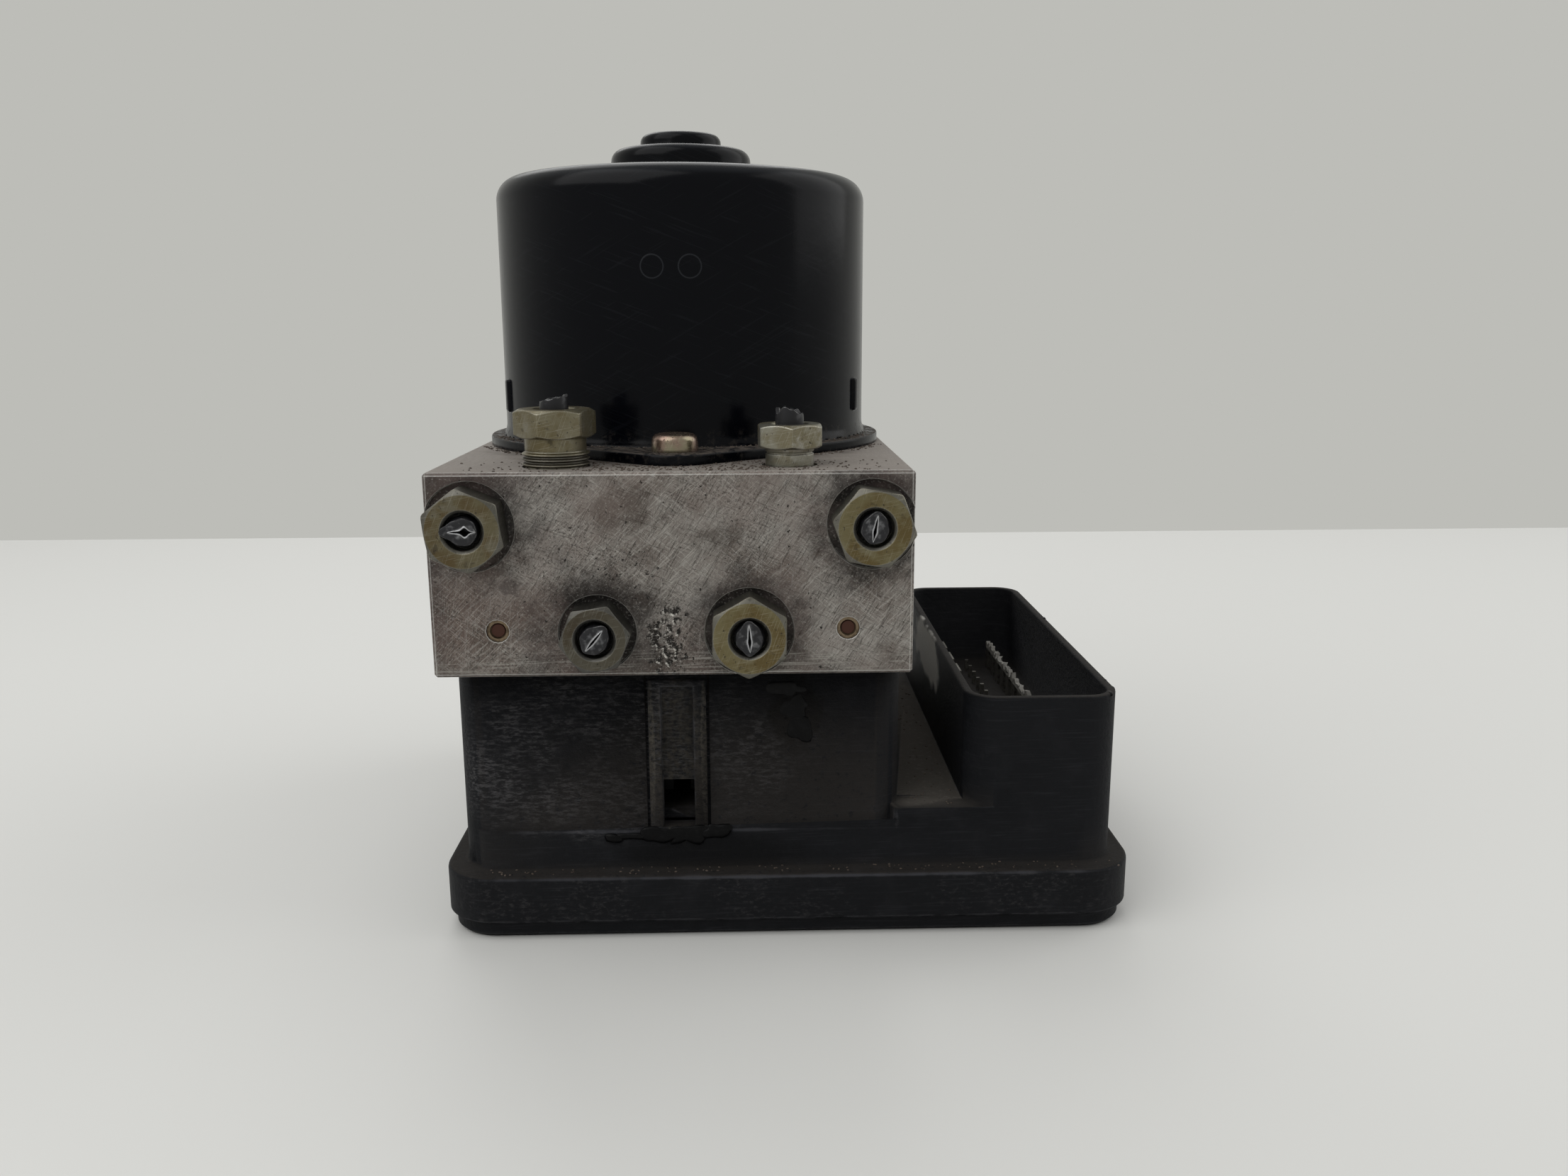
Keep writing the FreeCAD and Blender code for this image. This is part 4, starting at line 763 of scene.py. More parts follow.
# %% Finishes: pipes and plugs
PLUG_PLACES = ((-30.9, 58.6), (30.9, 58.6))


def make_pipe_coating():
    work = Finish("pipe coating", paint(34, 34, 37), 0.4, metal=0.3)
    edges = work.soften_edges(0.0003, 0.02, 0.25)
    worn = work.mask("blotches", Scale=800.0, Start=0.4, End=0.62)
    work.lay(edges, work.both(worn, 0.95), paint(205, 205, 205), roughness=0.3, metal=1.0)
    flat_and_wide = (1000.0, 1.86, 1000.0)
    lips = work.patch((0.0, -67.2, 67.0), flat_and_wide, ragged=0.12, soft=0.08, scale=900.0)
    work.lay(lips, 0.9, paint(196, 197, 200), roughness=0.28, metal=1.0)
    rubbed = work.mask("blotches", Scale=500.0, Start=0.56, End=0.68, Shift=(1.0, 1.0, 1.0))
    work.lay(rubbed, 0.35, paint(96, 96, 98), roughness=0.4, metal=0.8)
    return work.done()


def make_plug_metal():
    work = Finish("plug metal", paint(132, 116, 94), 0.5, metal=0.7)
    stains = work.mask("blotches", Scale=900.0, Start=0.45, End=0.65)
    work.lay(stains, 0.7, paint(70, 58, 46), roughness=0.65)
    for across, up in PLUG_PLACES:
        core = work.patch((across, -59.4, up), (1.4, 4.0, 1.4), ragged=0.1, soft=0.12)
        work.lay(core, colour=paint(74, 46, 36), roughness=0.6, metal=0.5)
    return work.done()


PIPE_COATING = make_pipe_coating()
PLUG_METAL = make_plug_metal()
print("pipe coating and plug metal ready")

# %% [markdown]
# The other finishes sit inside the unit, in the socket's shade or on loose scraps, so each is a
# plain start with one layer of clouds. A table says for each the colour, roughness and metal look
# of its start, and the colour and share of its clouds. Every plain part then gets its finish by the
# name that the solid model gave it, and the valves and coils get duller steel.

# %% Finishes: inner parts and scraps
def make_plain(title, colour, roughness, metal, over, share, scale=400.0, ior=1.45):
    work = Finish(title, paint(*colour), roughness, metal=metal, ior=ior)
    clouds = work.mask("blotches", Scale=scale, Start=0.45, End=0.68)
    work.lay(clouds, share, paint(*over))
    return work.done()


FINISHES = {
    "aluminium": ALUMINIUM,
    "can_paint": CAN_PAINT,
    "zinc": ZINC,
    "yellow_zinc": YELLOW_ZINC,
    "housing_plastic": HOUSING_PLASTIC,
    "pipe_coating": PIPE_COATING,
    "steel": make_plain("steel", (138, 138, 137), 0.42, 0.9, (92, 87, 80), 0.75, 160.0),
    "rubber": make_plain("rubber", (18, 18, 19), 0.75, 0.0, (34, 33, 32), 0.6),
    "ferrite": make_plain("ferrite", (52, 52, 54), 0.6, 0.2, (70, 68, 66), 0.4),
    "laminations": make_plain("laminations", (120, 118, 116), 0.4, 0.9, (84, 74, 64), 0.5),
    "copper": make_plain("copper", (184, 112, 72), 0.32, 1.0, (150, 84, 52), 0.6),
    "carbon": make_plain("carbon", (34, 34, 36), 0.55, 0.1, (52, 52, 54), 0.5),
    "board": make_plain("board", (22, 62, 44), 0.5, 0.0, (16, 48, 34), 0.5),
    "tin": make_plain("tin", (120, 118, 112), 0.4, 0.8, (52, 48, 44), 0.7, 900.0),
    "moulding": make_plain("moulding", (48, 47, 46), 0.55, 0.0, (62, 60, 58), 0.5),
    "plug_metal": PLUG_METAL,
    "dull_steel": make_plain("dull steel", (46, 46, 48), 0.6, 0.6, (30, 29, 28), 0.6),
    "torn": make_plain("torn plastic", (7, 7, 8), 0.35, 0.0, (18, 18, 19), 0.6, 1200.0, ior=1.2),
    "crest": make_plain("crest", (150, 148, 142), 0.75, 0.0, (84, 80, 74), 0.6, 900.0),
    "grit": make_plain("grit", (92, 82, 74), 0.95, 0.0, (42, 37, 33), 0.8, 300.0),
    "fluff": make_plain("fluff", (196, 196, 192), 0.95, 0.0, (140, 140, 138), 0.5, 500.0),
}
for name, part in plain_parts.items():
    known = part.data.materials[0].name.split(".")[0]
    shaded = name.endswith("_coils") or "_valve_" in name
    part.data.materials[0] = FINISHES["dull_steel" if shaded else known]
print(len(FINISHES), "finishes laid on the plain parts")

# %% [markdown]
# Finer shapes start as a bmesh and end as a finished piece. The last step is always the same: join
# doubled points, turn all faces outwards, shade smoothly up to an angle, hang the piece on the body
# that carries it, and hide the plain parts that it stands for.

# %% From a bmesh to a finished piece
def settle(bm, title, finish, replaces=(), body="module", sharp=34.0):
    """Makes a finished piece from a bmesh, on its body and in its finish."""
    bmesh.ops.remove_doubles(bm, verts=bm.verts, dist=0.000002)
    bmesh.ops.recalc_face_normals(bm, faces=bm.faces)
    title = title.replace(" ", "_")
    mesh = bpy.data.meshes.new(title)
    bm.to_mesh(mesh)
    bm.free()
    mesh.shade_smooth()
    mesh.set_sharp_from_angle(angle=math.radians(sharp))
    mesh.materials.append(finish)
    piece = bpy.data.objects.new(title, mesh)
    bpy.context.scene.collection.objects.link(piece)
    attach(piece, body)
    if replaces:
        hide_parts(*replaces)
    print(title, len(mesh.polygons), "faces")
    return piece


print("pieces can be settled")

# %% [markdown]
# Turned and pressed parts are easiest to draw as half an outline that is spun round the axis. Their
# edges are rounded afterwards with a bevel, because then one number changes how round each is.

# %% Spinning and rounding
def spin_profile(bm, points, steps):
    """Turns a line of (radius, height) points in millimetres round the upright axis."""
    corners = [bm.verts.new((radius * MM, 0.0, height * MM)) for radius, height in points]
    lines = [bm.edges.new(pair) for pair in zip(corners, corners[1:])]
    whole = {"cent": (0, 0, 0), "axis": (0, 0, 1), "angle": math.tau, "use_merge": True}
    bmesh.ops.spin(bm, geom=corners + lines, steps=steps, **whole)
    bmesh.ops.remove_doubles(bm, verts=bm.verts, dist=0.000002)


def round_edges(bm, edges, size, segments):
    """Rounds edges by a size in millimetres."""
    bevel = {"profile": 0.5, "affect": "EDGES", "material": -1}
    bmesh.ops.bevel(bm, geom=edges, offset=size * MM, segments=segments, **bevel)


def round_ring(bm, radius, height, size, segments):
    """Rounds the ring of edges at that radius and height, all in millimetres."""
    near = 0.02

    def on_ring(vert):
        away = math.hypot(vert.co.x, vert.co.y) / MM
        return abs(away - radius) < near and abs(vert.co.z / MM - height) < near

    ring = [edge for edge in bm.edges if all(on_ring(vert) for vert in edge.verts)]
    round_edges(bm, ring, size, segments)


def new_circle(bm, radius, steps, place):
    """A circle of edges at a place, its radius in metres: its points and its edges."""
    shape = {"cap_ends": False, "segments": steps, "radius": radius, "matrix": place}
    points = bmesh.ops.create_circle(bm, **shape)["verts"]
    return points, list({edge for vert in points for edge in vert.link_edges})


print("profiles can be spun")

# %% [markdown]
# The can's foot is a flange with two screw lugs. As an outline that is a large disc and two small
# ones with a skin drawn tight round them, which is just what a convex hull does. Its flat lids are
# then taken off, and bridged again between the outline and the round opening of the can.

# %% The foot flange
def lug_plate(bm, low, high, disc, lug, reach, hole):
    """The foot flange: a hull round a disc and two lugs, with a round hole through it."""
    before = set(bm.verts)
    for centre, radius, steps in ((0.0, disc, 96), (-reach, lug, 40), (reach, lug, 40)):
        for height in (low, high):
            place = Matrix.Translation((0.0, centre * MM, height * MM))
            new_circle(bm, radius * MM, steps, place)
    points = [vert for vert in bm.verts if vert not in before]
    hull = bmesh.ops.convex_hull(bm, input=points)
    inner = hull["geom_interior"] + hull["geom_unused"]
    spare = {item for item in inner if isinstance(item, bmesh.types.BMVert)}
    bmesh.ops.delete(bm, geom=list(spare), context="VERTS")
    outline = [vert for vert in bm.verts if vert not in before]
    lids = {face for vert in outline for face in vert.link_faces if abs(face.normal.z) > 0.5}
    bmesh.ops.delete(bm, geom=list(lids), context="FACES")
    loops = {}
    for height in (low, high):
        rim = {e for vert in outline if vert.is_valid for e in vert.link_edges if e.is_boundary}
        rim = [e for e in rim if all(abs(v.co.z - height * MM) < 1e-6 for v in e.verts)]
        place = Matrix.Translation((0.0, 0.0, height * MM))
        _, inner = new_circle(bm, hole * MM, 96, place)
        bmesh.ops.bridge_loops(bm, edges=rim + inner)
        loops[height] = (rim, inner)
    bmesh.ops.bridge_loops(bm, edges=loops[low][1] + loops[high][1])
    round_edges(bm, loops[high][0], 0.5, 3)


print("flange ready")

# %% [markdown]
# The can is drawn from sheet, so every edge is round: a wide shoulder, two bearing steps and a
# small flare at the foot. A profile spun round the axis gives the wall. Its inside is the outside
# moved in by the sheet's thickness. Four small tabs pressed out of the wall are rounded boxes.

# %% The motor can
LUG_REACH = 44.5
BLOCK_TOP = 86.6


def can_profile(wall, boss, tip_boss, bend, shoulder, step, tip, sheet):
    """The can's outline up the outside, over the tip and down the inside, in millimetres."""
    outside = [(wall + 0.75, BLOCK_TOP), (wall + 0.55, BLOCK_TOP + 2.3), (wall, bend), (wall, shoulder)]
    outside += [(boss, shoulder), (boss, step), (tip_boss, step), (tip_boss, tip), (0.0, tip)]
    inside = [(0.0, tip - sheet), (tip_boss - sheet, tip - sheet), (tip_boss - sheet, step - sheet)]
    inside += [(boss - sheet, step - sheet), (boss - sheet, shoulder - sheet)]
    inside += [(wall - sheet, shoulder - sheet), (wall - sheet, BLOCK_TOP)]
    return outside + inside


def press_tabs(bm, wall, height):
    """Four small rounded boxes on the can's wall."""
    for angle in (22.0, 158.0, 202.0, 338.0):
        turn = Matrix.Rotation(math.radians(angle), 4, "Z")
        place = turn @ Matrix.Translation((wall * MM, 0.0, height * MM))
        shape = place @ Matrix.Diagonal((0.0013, 0.0024, 0.0066, 1.0))
        tab = bmesh.ops.create_cube(bm, size=1.0, matrix=shape)["verts"]
        sides = list({edge for vert in tab for edge in vert.link_edges})
        round_edges(bm, sides, 0.5, 3)


def make_motor_can():
    wall, boss, tip_boss = 38.15, 14.5, 8.35
    bend, shoulder, step, tip = 90.2, 140.4, 146.5, 149.6
    bm = bmesh.new()
    spin_profile(bm, can_profile(wall, boss, tip_boss, bend, shoulder, step, tip, sheet=1.8), steps=128)
    bmesh.ops.bridge_loops(bm, edges=[edge for edge in bm.edges if edge.is_boundary])
    for radius, height, size, segments in (
        (wall, shoulder, 4.5, 10),
        (boss, step, 2.4, 7),
        (boss, shoulder, 0.9, 4),
        (tip_boss, tip, 1.7, 6),
        (tip_boss, step, 0.4, 3),
        (wall, bend, 0.8, 3),
    ):
        round_ring(bm, radius, height, size, segments)
    lug_plate(bm, BLOCK_TOP, BLOCK_TOP + 2.0, disc=41.5, lug=7.6, reach=LUG_REACH, hole=37.4)
    press_tabs(bm, wall, 97.0)
    settle(bm, "motor can", CAN_PAINT, ("motor_can",))


make_motor_can()

# %% [markdown]
# Each motor screw has a low rounded head over a small collar. A profile is spun once and its top
# edge rounded, and then the whole is mirrored, so that both screws stay alike.

# %% The motor screws
def make_motor_screws():
    bm = bmesh.new()
    foot, shank, head, top = 72.6, 2.4, 4.1, 91.8
    collar = [(4.25, 88.55), (4.3, 89.4)]
    points = [(0.0, foot), (shank, foot), (shank, 88.4), *collar, (head, top), (0.0, top)]
    spin_profile(bm, points, steps=64)
    round_ring(bm, head, top, 1.25, 7)
    bmesh.ops.translate(bm, verts=bm.verts, vec=(0.0, -LUG_REACH * MM, 0.0))
    bmesh.ops.mirror(bm, geom=bm.verts[:] + bm.edges[:] + bm.faces[:], axis="Y", merge_dist=0.0)
    settle(bm, "motor screws", YELLOW_ZINC, ("motor_screws",), sharp=50.0)


make_motor_screws()

# %% [markdown]
# Nuts and cut pipes are rings that change from one shape to the next: a circle, a hexagon, a slit.
# It would be hard to cut them from cylinders. Instead a tube of equal rings is made by extruding
# a circle of edges again and again, and then each ring is given its own outline.

# %% Round and six-sided rings
def circle(radius, height):
    """A round ring."""
    return lambda angle: (radius * math.cos(angle), radius * math.sin(angle), height)


def hexagon(flats, height, turned_to, slope):
    """A six-sided ring. Beyond the radius turned_to its points drop or rise with a slope."""
    corner = flats / 2 * 1.135

    def outline(angle):
        part = (angle % (math.pi / 3)) - math.pi / 6
        radius = min(flats / 2 / math.cos(part), corner)
        beyond = max(0.0, radius - turned_to)
        return (radius * math.cos(angle), radius * math.sin(angle), height + slope * beyond)

    return outline


def nut_head(flats, low, high, bore):
    """The rings of a nut's head, with both ends turned down and the bore open."""
    turned = flats / 2 * 0.975
    rise = math.tan(math.radians(30))
    floor = high - 3.0
    return [
        circle(turned, low),
        hexagon(flats, low, turned, rise),
        hexagon(flats, high, turned, -rise),
        circle(turned, high),
        circle(bore + 0.5, high),
        circle(bore, high - 0.5),
        circle(bore, floor),
        circle(0.0, floor),
    ]


print("a nut's head has", len(nut_head(13.0, 0.0, 6.0, 3.0)), "rings")

# %% [markdown]
# The rings are shaped upright, round the upright axis, because that is the simplest to think of.
# A matrix then lays the finished shape on the front face or stands it on the top, turned as the
# spanner or the cutter left it.

# %% Stacking the rings
def shape_rings(bm, rings, steps, place):
    """Lifts a circle of edges through the rings, shapes each one and puts the whole in place."""
    start, level = new_circle(bm, 1.0, steps, Matrix.Identity(4))
    stack = [start]
    for _ in rings[1:]:
        grown = bmesh.ops.extrude_edge_only(bm, edges=level)["geom"]
        fresh = [item for item in grown if isinstance(item, bmesh.types.BMVert)]
        known = set(fresh)
        edges = [item for item in grown if isinstance(item, bmesh.types.BMEdge)]
        level = [edge for edge in edges if known.issuperset(edge.verts)]
        stack.append(fresh)
    for ring, verts in zip(rings, stack):
        for vert in verts:
            vert.co = place @ (Vector(ring(math.atan2(vert.co.y, vert.co.x))) * MM)


def facing_front(across, up, turn):
    """Puts an upright shape on the front face, pointing at the viewer."""
    move = Matrix.Translation((across * MM, 0.0, up * MM))
    return move @ Matrix.Rotation(math.radians(90), 4, "X") @ Matrix.Rotation(math.radians(turn), 4, "Z")


def facing_up(across, back, turn):
    """Puts an upright shape on the top face."""
    return Matrix.Translation((across * MM, back * MM, 0.0)) @ Matrix.Rotation(math.radians(turn), 4, "Z")


print("rings can be stacked")

# %% [markdown]
# The four nuts on the front sit in round recesses, with their heads turned as the spanner left
# them. A cylinder of six sides would have hard corners, but a real nut is turned down at its ends,
# so its corner points drop along a slope. The threaded shank goes into the block and stays plain.

# %% The front nuts
FRONT_NUTS = {
    "upper_left": (12.9, 38.0, ZINC),
    "upper_right": (12.9, 50.0, OLIVE_ZINC),
    "lower_left": (11.1, 8.0, DARK_ZINC),
    "lower_right": (12.9, 29.0, OLIVE_ZINC),
}


def make_front_nuts():
    inner_end, seat, outer_end = 50.0, 59.2, 65.2
    for name, (flats, turn, plating) in FRONT_NUTS.items():
        bm = bmesh.new()
        shank = flats / 2 * 0.86
        rings = [circle(0.0, inner_end), circle(shank, inner_end), circle(shank, seat)]
        rings += nut_head(flats, seat, outer_end, 3.3)
        shape_rings(bm, rings, 96, facing_front(*NUT_PLACES[name], turn))
        settle(bm, f"nut {name}", plating, (f"outlet_nut_{name}",), sharp=24.0)


make_front_nuts()

# %% [markdown]
# Two cross bores of the block are closed by small plugs: a pale ring, pressed in, with a brown
# core in a thin groove. A groove this small could be painted on, but as rings it catches the light.

# %% The bore plugs
def make_bore_plugs():
    bm = bmesh.new()
    rings = [circle(0.0, 56.0), circle(2.05, 56.0), circle(2.05, 59.45), circle(1.95, 59.6)]
    rings += [circle(1.45, 59.6), circle(1.35, 59.0), circle(1.25, 59.0), circle(1.15, 59.3)]
    rings += [circle(0.0, 59.35)]
    for across, up in PLUG_PLACES:
        shape_rings(bm, rings, 48, facing_front(across, up, 0.0))
    settle(bm, "bore plugs", FINISHES["plug_metal"], ("bore_plugs",))


make_bore_plugs()

# %% [markdown]
# The two nuts on the top have been screwed out a little, so their necks show. The left one shows
# three turns of thread, which are rings of a zigzag profile, and the right one a groove. A true
# screw thread would climb, but over three fine turns nobody can tell, and rings stay closed.

# %% The top nuts
INLET_ACROSS, INLET_BACK = 20.9, -50.0
SHANK_END = 76.6


def make_left_top_nut():
    bm = bmesh.new()
    rings = [circle(0.0, SHANK_END), circle(5.5, SHANK_END), circle(5.5, BLOCK_TOP)]
    root, crest, pitch = 5.35, 6.0, 0.92
    for turn in range(3):
        foot = 86.65 + pitch * turn
        rings += [circle(root, foot), circle(crest, foot + 0.4)]
        rings += [circle(crest, foot + 0.52), circle(root, foot + 0.9)]
    rings += [circle(5.45, 89.6), circle(5.45, 91.8)] + nut_head(12.9, 91.8, 96.8, 3.3)
    shape_rings(bm, rings, 96, facing_up(-INLET_ACROSS, INLET_BACK, 14.0))
    settle(bm, "nut top left", GREY_ZINC, ("inlet_nut_left",), sharp=24.0)


def make_right_top_nut():
    bm = bmesh.new()
    neck, groove = 4.35, 4.05
    rings = [circle(0.0, SHANK_END), circle(neck, SHANK_END), circle(neck, 88.6)]
    rings += [circle(groove, 88.75), circle(groove, 88.95), circle(neck, 89.1), circle(4.5, 89.7)]
    rings += nut_head(11.1, 89.7, 93.9, 3.0)
    shape_rings(bm, rings, 96, facing_up(INLET_ACROSS, INLET_BACK, 33.0))
    settle(bm, "nut top right", SILVER_ZINC, ("inlet_nut_right",), sharp=24.0)


make_left_top_nut()
make_right_top_nut()

# %% [markdown]
# The brake pipes were cut off close to the nuts, and the cutter pinched each end nearly shut. Seen
# from the front each is a dark round end with a slit, a beak of squeezed metal at one or both ends
# of the slit, and on one of them a round hole that stayed open. The rings go up the wall, over a
# rolled rim, and down into a slit that narrows.

# %% The pinched pipe ends
PIPE = 2.55
BEAK_WIDTH = 20.0


def pinched_end(length, beak_ahead, beak_behind, hole, tip, foot):
    """The rings of a pinched pipe: the wall, the rolled rim and the slit that goes inside."""
    def rim(radius, height, share):
        def outline(angle):
            level, rise = math.cos(angle), math.sin(angle)
            ahead = math.exp(-((math.degrees(math.atan2(rise, level)) / BEAK_WIDTH) ** 2))
            behind = math.exp(-((math.degrees(math.atan2(rise, -level)) / BEAK_WIDTH) ** 2))
            wobble = 0.08 * math.sin(3.0 * angle + length) + 0.05 * math.sin(7.0 * angle)
            reach = radius * (1.0 - 0.1 * share * rise ** 2)
            reach += share * (beak_ahead * ahead + beak_behind * behind + wobble)
            return (reach * level, reach * rise, height)

        return outline

    def slit(height, shrink, lip):
        def outline(angle):
            along = length * shrink * math.cos(angle)
            open_hole = hole * math.exp(-(((along + 0.6) / 0.6) ** 2))
            width = (0.12 + open_hole) * shrink + lip
            return (along, width * math.sin(angle) * (1.0 - 0.5 * abs(math.cos(angle)) ** 3), height)

        return outline

    return [
        circle(0.0, foot),
        circle(PIPE, foot),
        circle(2.6, tip - 1.4),
        rim(2.65, tip - 0.6, 0.8),
        rim(PIPE, tip - 0.3, 1.0),
        rim(2.2, tip - 0.16, 0.9),
        slit(tip - 0.14, 1.2, 0.3),
        slit(tip, 1.12, 0.17),
        slit(tip - 0.04, 1.04, 0.05),
        slit(tip - 0.3, 1.0, 0.0),
        slit(tip - 0.8, 0.9, 0.0),
        slit(tip - 2.6, 0.7, 0.0),
        circle(0.0, tip - 2.6),
    ]


print("pipe ends can be pinched")

# %% [markdown]
# Each cut is different, so a table gives for each pipe how far its slit is turned, how long the
# slit is, how far the two beaks stand out, and how wide the hole stayed open.

# %% The four front pipes
FRONT_PIPES = {
    "upper_left": (180.0, 2.05, 1.25, 0.0, 0.62),
    "upper_right": (80.0, 2.0, 0.4, 0.2, 0.1),
    "lower_left": (50.0, 2.05, 0.5, 0.35, 0.02),
    "lower_right": (92.0, 2.1, 0.6, 0.7, 0.12),
}


def make_front_pipes():
    for name, (turn, length, ahead, behind, hole) in FRONT_PIPES.items():
        bm = bmesh.new()
        rings = pinched_end(length, ahead, behind, hole, tip=65.5, foot=47.0)
        shape_rings(bm, rings, 72, facing_front(*NUT_PLACES[name], turn))
        settle(bm, f"pipe {name}", PIPE_COATING, (f"outlet_pipe_{name}",))


make_front_pipes()

# %% [markdown]
# The two pipes on top were sawn and snapped, so their ends are ragged and lean. The same tube of
# rings is used, with the heights of the last rings following a broken line instead of a level one.

# %% The snapped pipe stubs
def make_stub(name, across, tip, lean, ragged, seed):
    """A short pipe stub with a ragged end that leans by some millimetres."""
    def broken(radius, drop):
        def outline(angle):
            chip = noise.noise(Vector((math.cos(angle) * 1.7, math.sin(angle) * 1.7, seed)))
            height = tip - 0.5 * lean - ragged + 0.5 * lean * math.cos(angle) + ragged * chip - drop
            return (radius * math.cos(angle), radius * math.sin(angle), min(height, tip))

        return outline

    foot, floor = 73.6, tip - 3.5
    bm = bmesh.new()
    rings = [circle(0.0, foot), circle(PIPE, foot), circle(PIPE, tip - 3.0), broken(PIPE, 0.5)]
    rings += [broken(2.45, 0.0), broken(1.8, 0.1), broken(1.65, 0.6)]
    rings += [circle(1.6, floor), circle(0.0, floor)]
    shape_rings(bm, rings, 64, facing_up(across, INLET_BACK, 0.0))
    settle(bm, f"pipe top {name}", PIPE_COATING, (f"inlet_pipe_{name}",))


make_stub("left", -INLET_ACROSS, tip=99.5, lean=1.1, ragged=0.35, seed=2.0)
make_stub("right", INLET_ACROSS, tip=97.1, lean=-0.5, ragged=1.1, seed=6.0)

# %% [markdown]
# Inside the block two coil springs press the accumulator pistons. They must shorten when a piston
# moves, so each is a piece of its own with a mesh of its own. A small circle spun with a push along
# the axis makes the coil.

# %% The accumulator springs
def make_spring(side, across):
    wire, coil, turns, length = 0.75, 7.25, 4.5, 14.2
    height = 68.4
    lie_down = Matrix.Rotation(math.radians(90), 4, "X")
    bm = bmesh.new()
    start = Matrix.Translation((coil * MM, 0.0, 0.0)) @ lie_down
    ring, edges = new_circle(bm, wire * MM, 10, start)
    steps = int(turns * 32)
    bmesh.ops.spin(
        bm,
        geom=ring + edges,
        cent=(0, 0, 0),
        axis=(0, 0, 1),
        dvec=(0, 0, length * MM / steps),
        angle=turns * math.tau,
        steps=steps,
        use_merge=False,
    )
    bmesh.ops.holes_fill(bm, edges=[edge for edge in bm.edges if edge.is_boundary])
    place = Matrix.Translation((across * MM, 48.2 * MM, height * MM)) @ lie_down
    bmesh.ops.transform(bm, matrix=place, verts=bm.verts)
    title = f"accumulator spring {side}"
    spring = settle(bm, title, FINISHES["steel"], (f"accumulator_spring_{side}",))
    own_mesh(spring)


make_spring("left", -22.0)
make_spring("right", 22.0)

# %% [markdown]
# The housing keeps the solid model's shape, but a moulding has no knife edges. A copy of the plain
# mesh is joined up, its flat faces are merged so that only real edges are left, and the flange's
# upper rim and the socket's rim are bevelled. The ledge of the plinth and the small window stand a
# little lower in the photograph, so their points are moved down. The plain part is left alone.

# %% The housing
FLANGE_TOP, SOCKET_RIM = 12.3, 44.3
LEDGE, WINDOW_TOP, WINDOW_HALF, LOWERED = 21.0, 30.1, 3.2, 1.5


def is_at(vert, height, near):
    """Whether a point is at that height, within a small distance, both in millimetres."""
    return abs(vert.co.z / MM - height) < near


def level_rim(bm, height, outside):
    """The edges of a level rim at that height that turn down to an upright wall outside a box."""
    rim = []
    for edge in bm.edges:
        if len(edge.link_faces) != 2 or not all(is_at(vert, height, 0.03) for vert in edge.verts):
            continue
        up, side = sorted((face.normal.z for face in edge.link_faces), reverse=True)
        middle = (edge.verts[0].co + edge.verts[1].co) / 2
        if up > 0.9 and abs(side) < 0.2 and outside(middle.x / MM, middle.y / MM):
            rim.append(edge)
    return rim


def make_housing():
    bm = bmesh.new()
    bm.from_mesh(plain_parts["controller_housing"].data)
    bmesh.ops.remove_doubles(bm, verts=bm.verts, dist=0.00001)
    bmesh.ops.dissolve_limit(bm, angle_limit=math.radians(1.0), verts=bm.verts, edges=bm.edges)
    bm.normal_update()
    for vert in bm.verts:
        x, y = vert.co.x / MM, vert.co.y / MM
        window = is_at(vert, WINDOW_TOP, 0.05) and abs(x) < WINDOW_HALF
        if y < -30.0 and x < 41.0 and (window or is_at(vert, LEDGE, 0.05)):
            vert.co.z -= LOWERED * MM
    bm.normal_update()
    foot = level_rim(bm, FLANGE_TOP, lambda x, y: x < -38.5 or x > 83.0 or y < -57.5 or y > 53.5)
    print(len(foot), "edges round the flange")
    round_edges(bm, foot, 0.9, 3)
    rim = level_rim(bm, SOCKET_RIM, lambda x, y: True)
    print(len(rim), "edges round the socket's rim")
    round_edges(bm, rim, 0.35, 2)
    bmesh.ops.triangulate(bm, faces=bm.faces)
    settle(bm, "housing", HOUSING_PLASTIC, ("controller_housing",), sharp=32.0)


make_housing()

# %% [markdown]
# Rough scraps of plastic stand out from the moulding: a torn lip below the small window, a melted
# patch beside the channel, and burrs on the socket's rim. They could be sculpted by hand, but a low
# ball pushed about by a noise never repeats, and a table says where each one is and how large.

# %% Torn and melted scraps
TORN = (
    (-12.5, 18.0, 2.4, 0.8, 1.0),
    (-8.0, 18.3, 3.6, 0.7, 2.0),
    (-3.4, 18.6, 3.4, 1.5, 3.0),
    (1.6, 18.4, 4.0, 1.9, 4.0),
    (6.2, 19.2, 3.2, 1.5, 5.0),
)
MELTED = ((20.6, 46.0, 3.4, 1.4, 6.0), (21.6, 42.6, 2.8, 2.3, 7.0), (22.4, 38.6, 2.0, 2.4, 8.0))
BURRS = (
    ((81.6, -46.0, 44.2), 9.0),
    ((81.7, -50.5, 44.0), 10.0),
    ((80.2, -54.0, 44.1), 11.0),
    ((81.6, 4.0, 44.2), 12.0),
)


def add_scrap(bm, centre, size, rough, seed, detail=3):
    """A flattened lump with an uneven skin."""
    middle = Vector(centre) * MM
    place = Matrix.Translation(middle) @ Matrix.Diagonal((*(Vector(size) * MM), 1.0))
    lump = bmesh.ops.create_icosphere(bm, subdivisions=detail, radius=1.0, matrix=place)["verts"]
    for vert in lump:
        push = noise.noise(vert.co * 420.0 + Vector((seed, 0.0, seed)))
        vert.co += (vert.co - middle) * push * rough


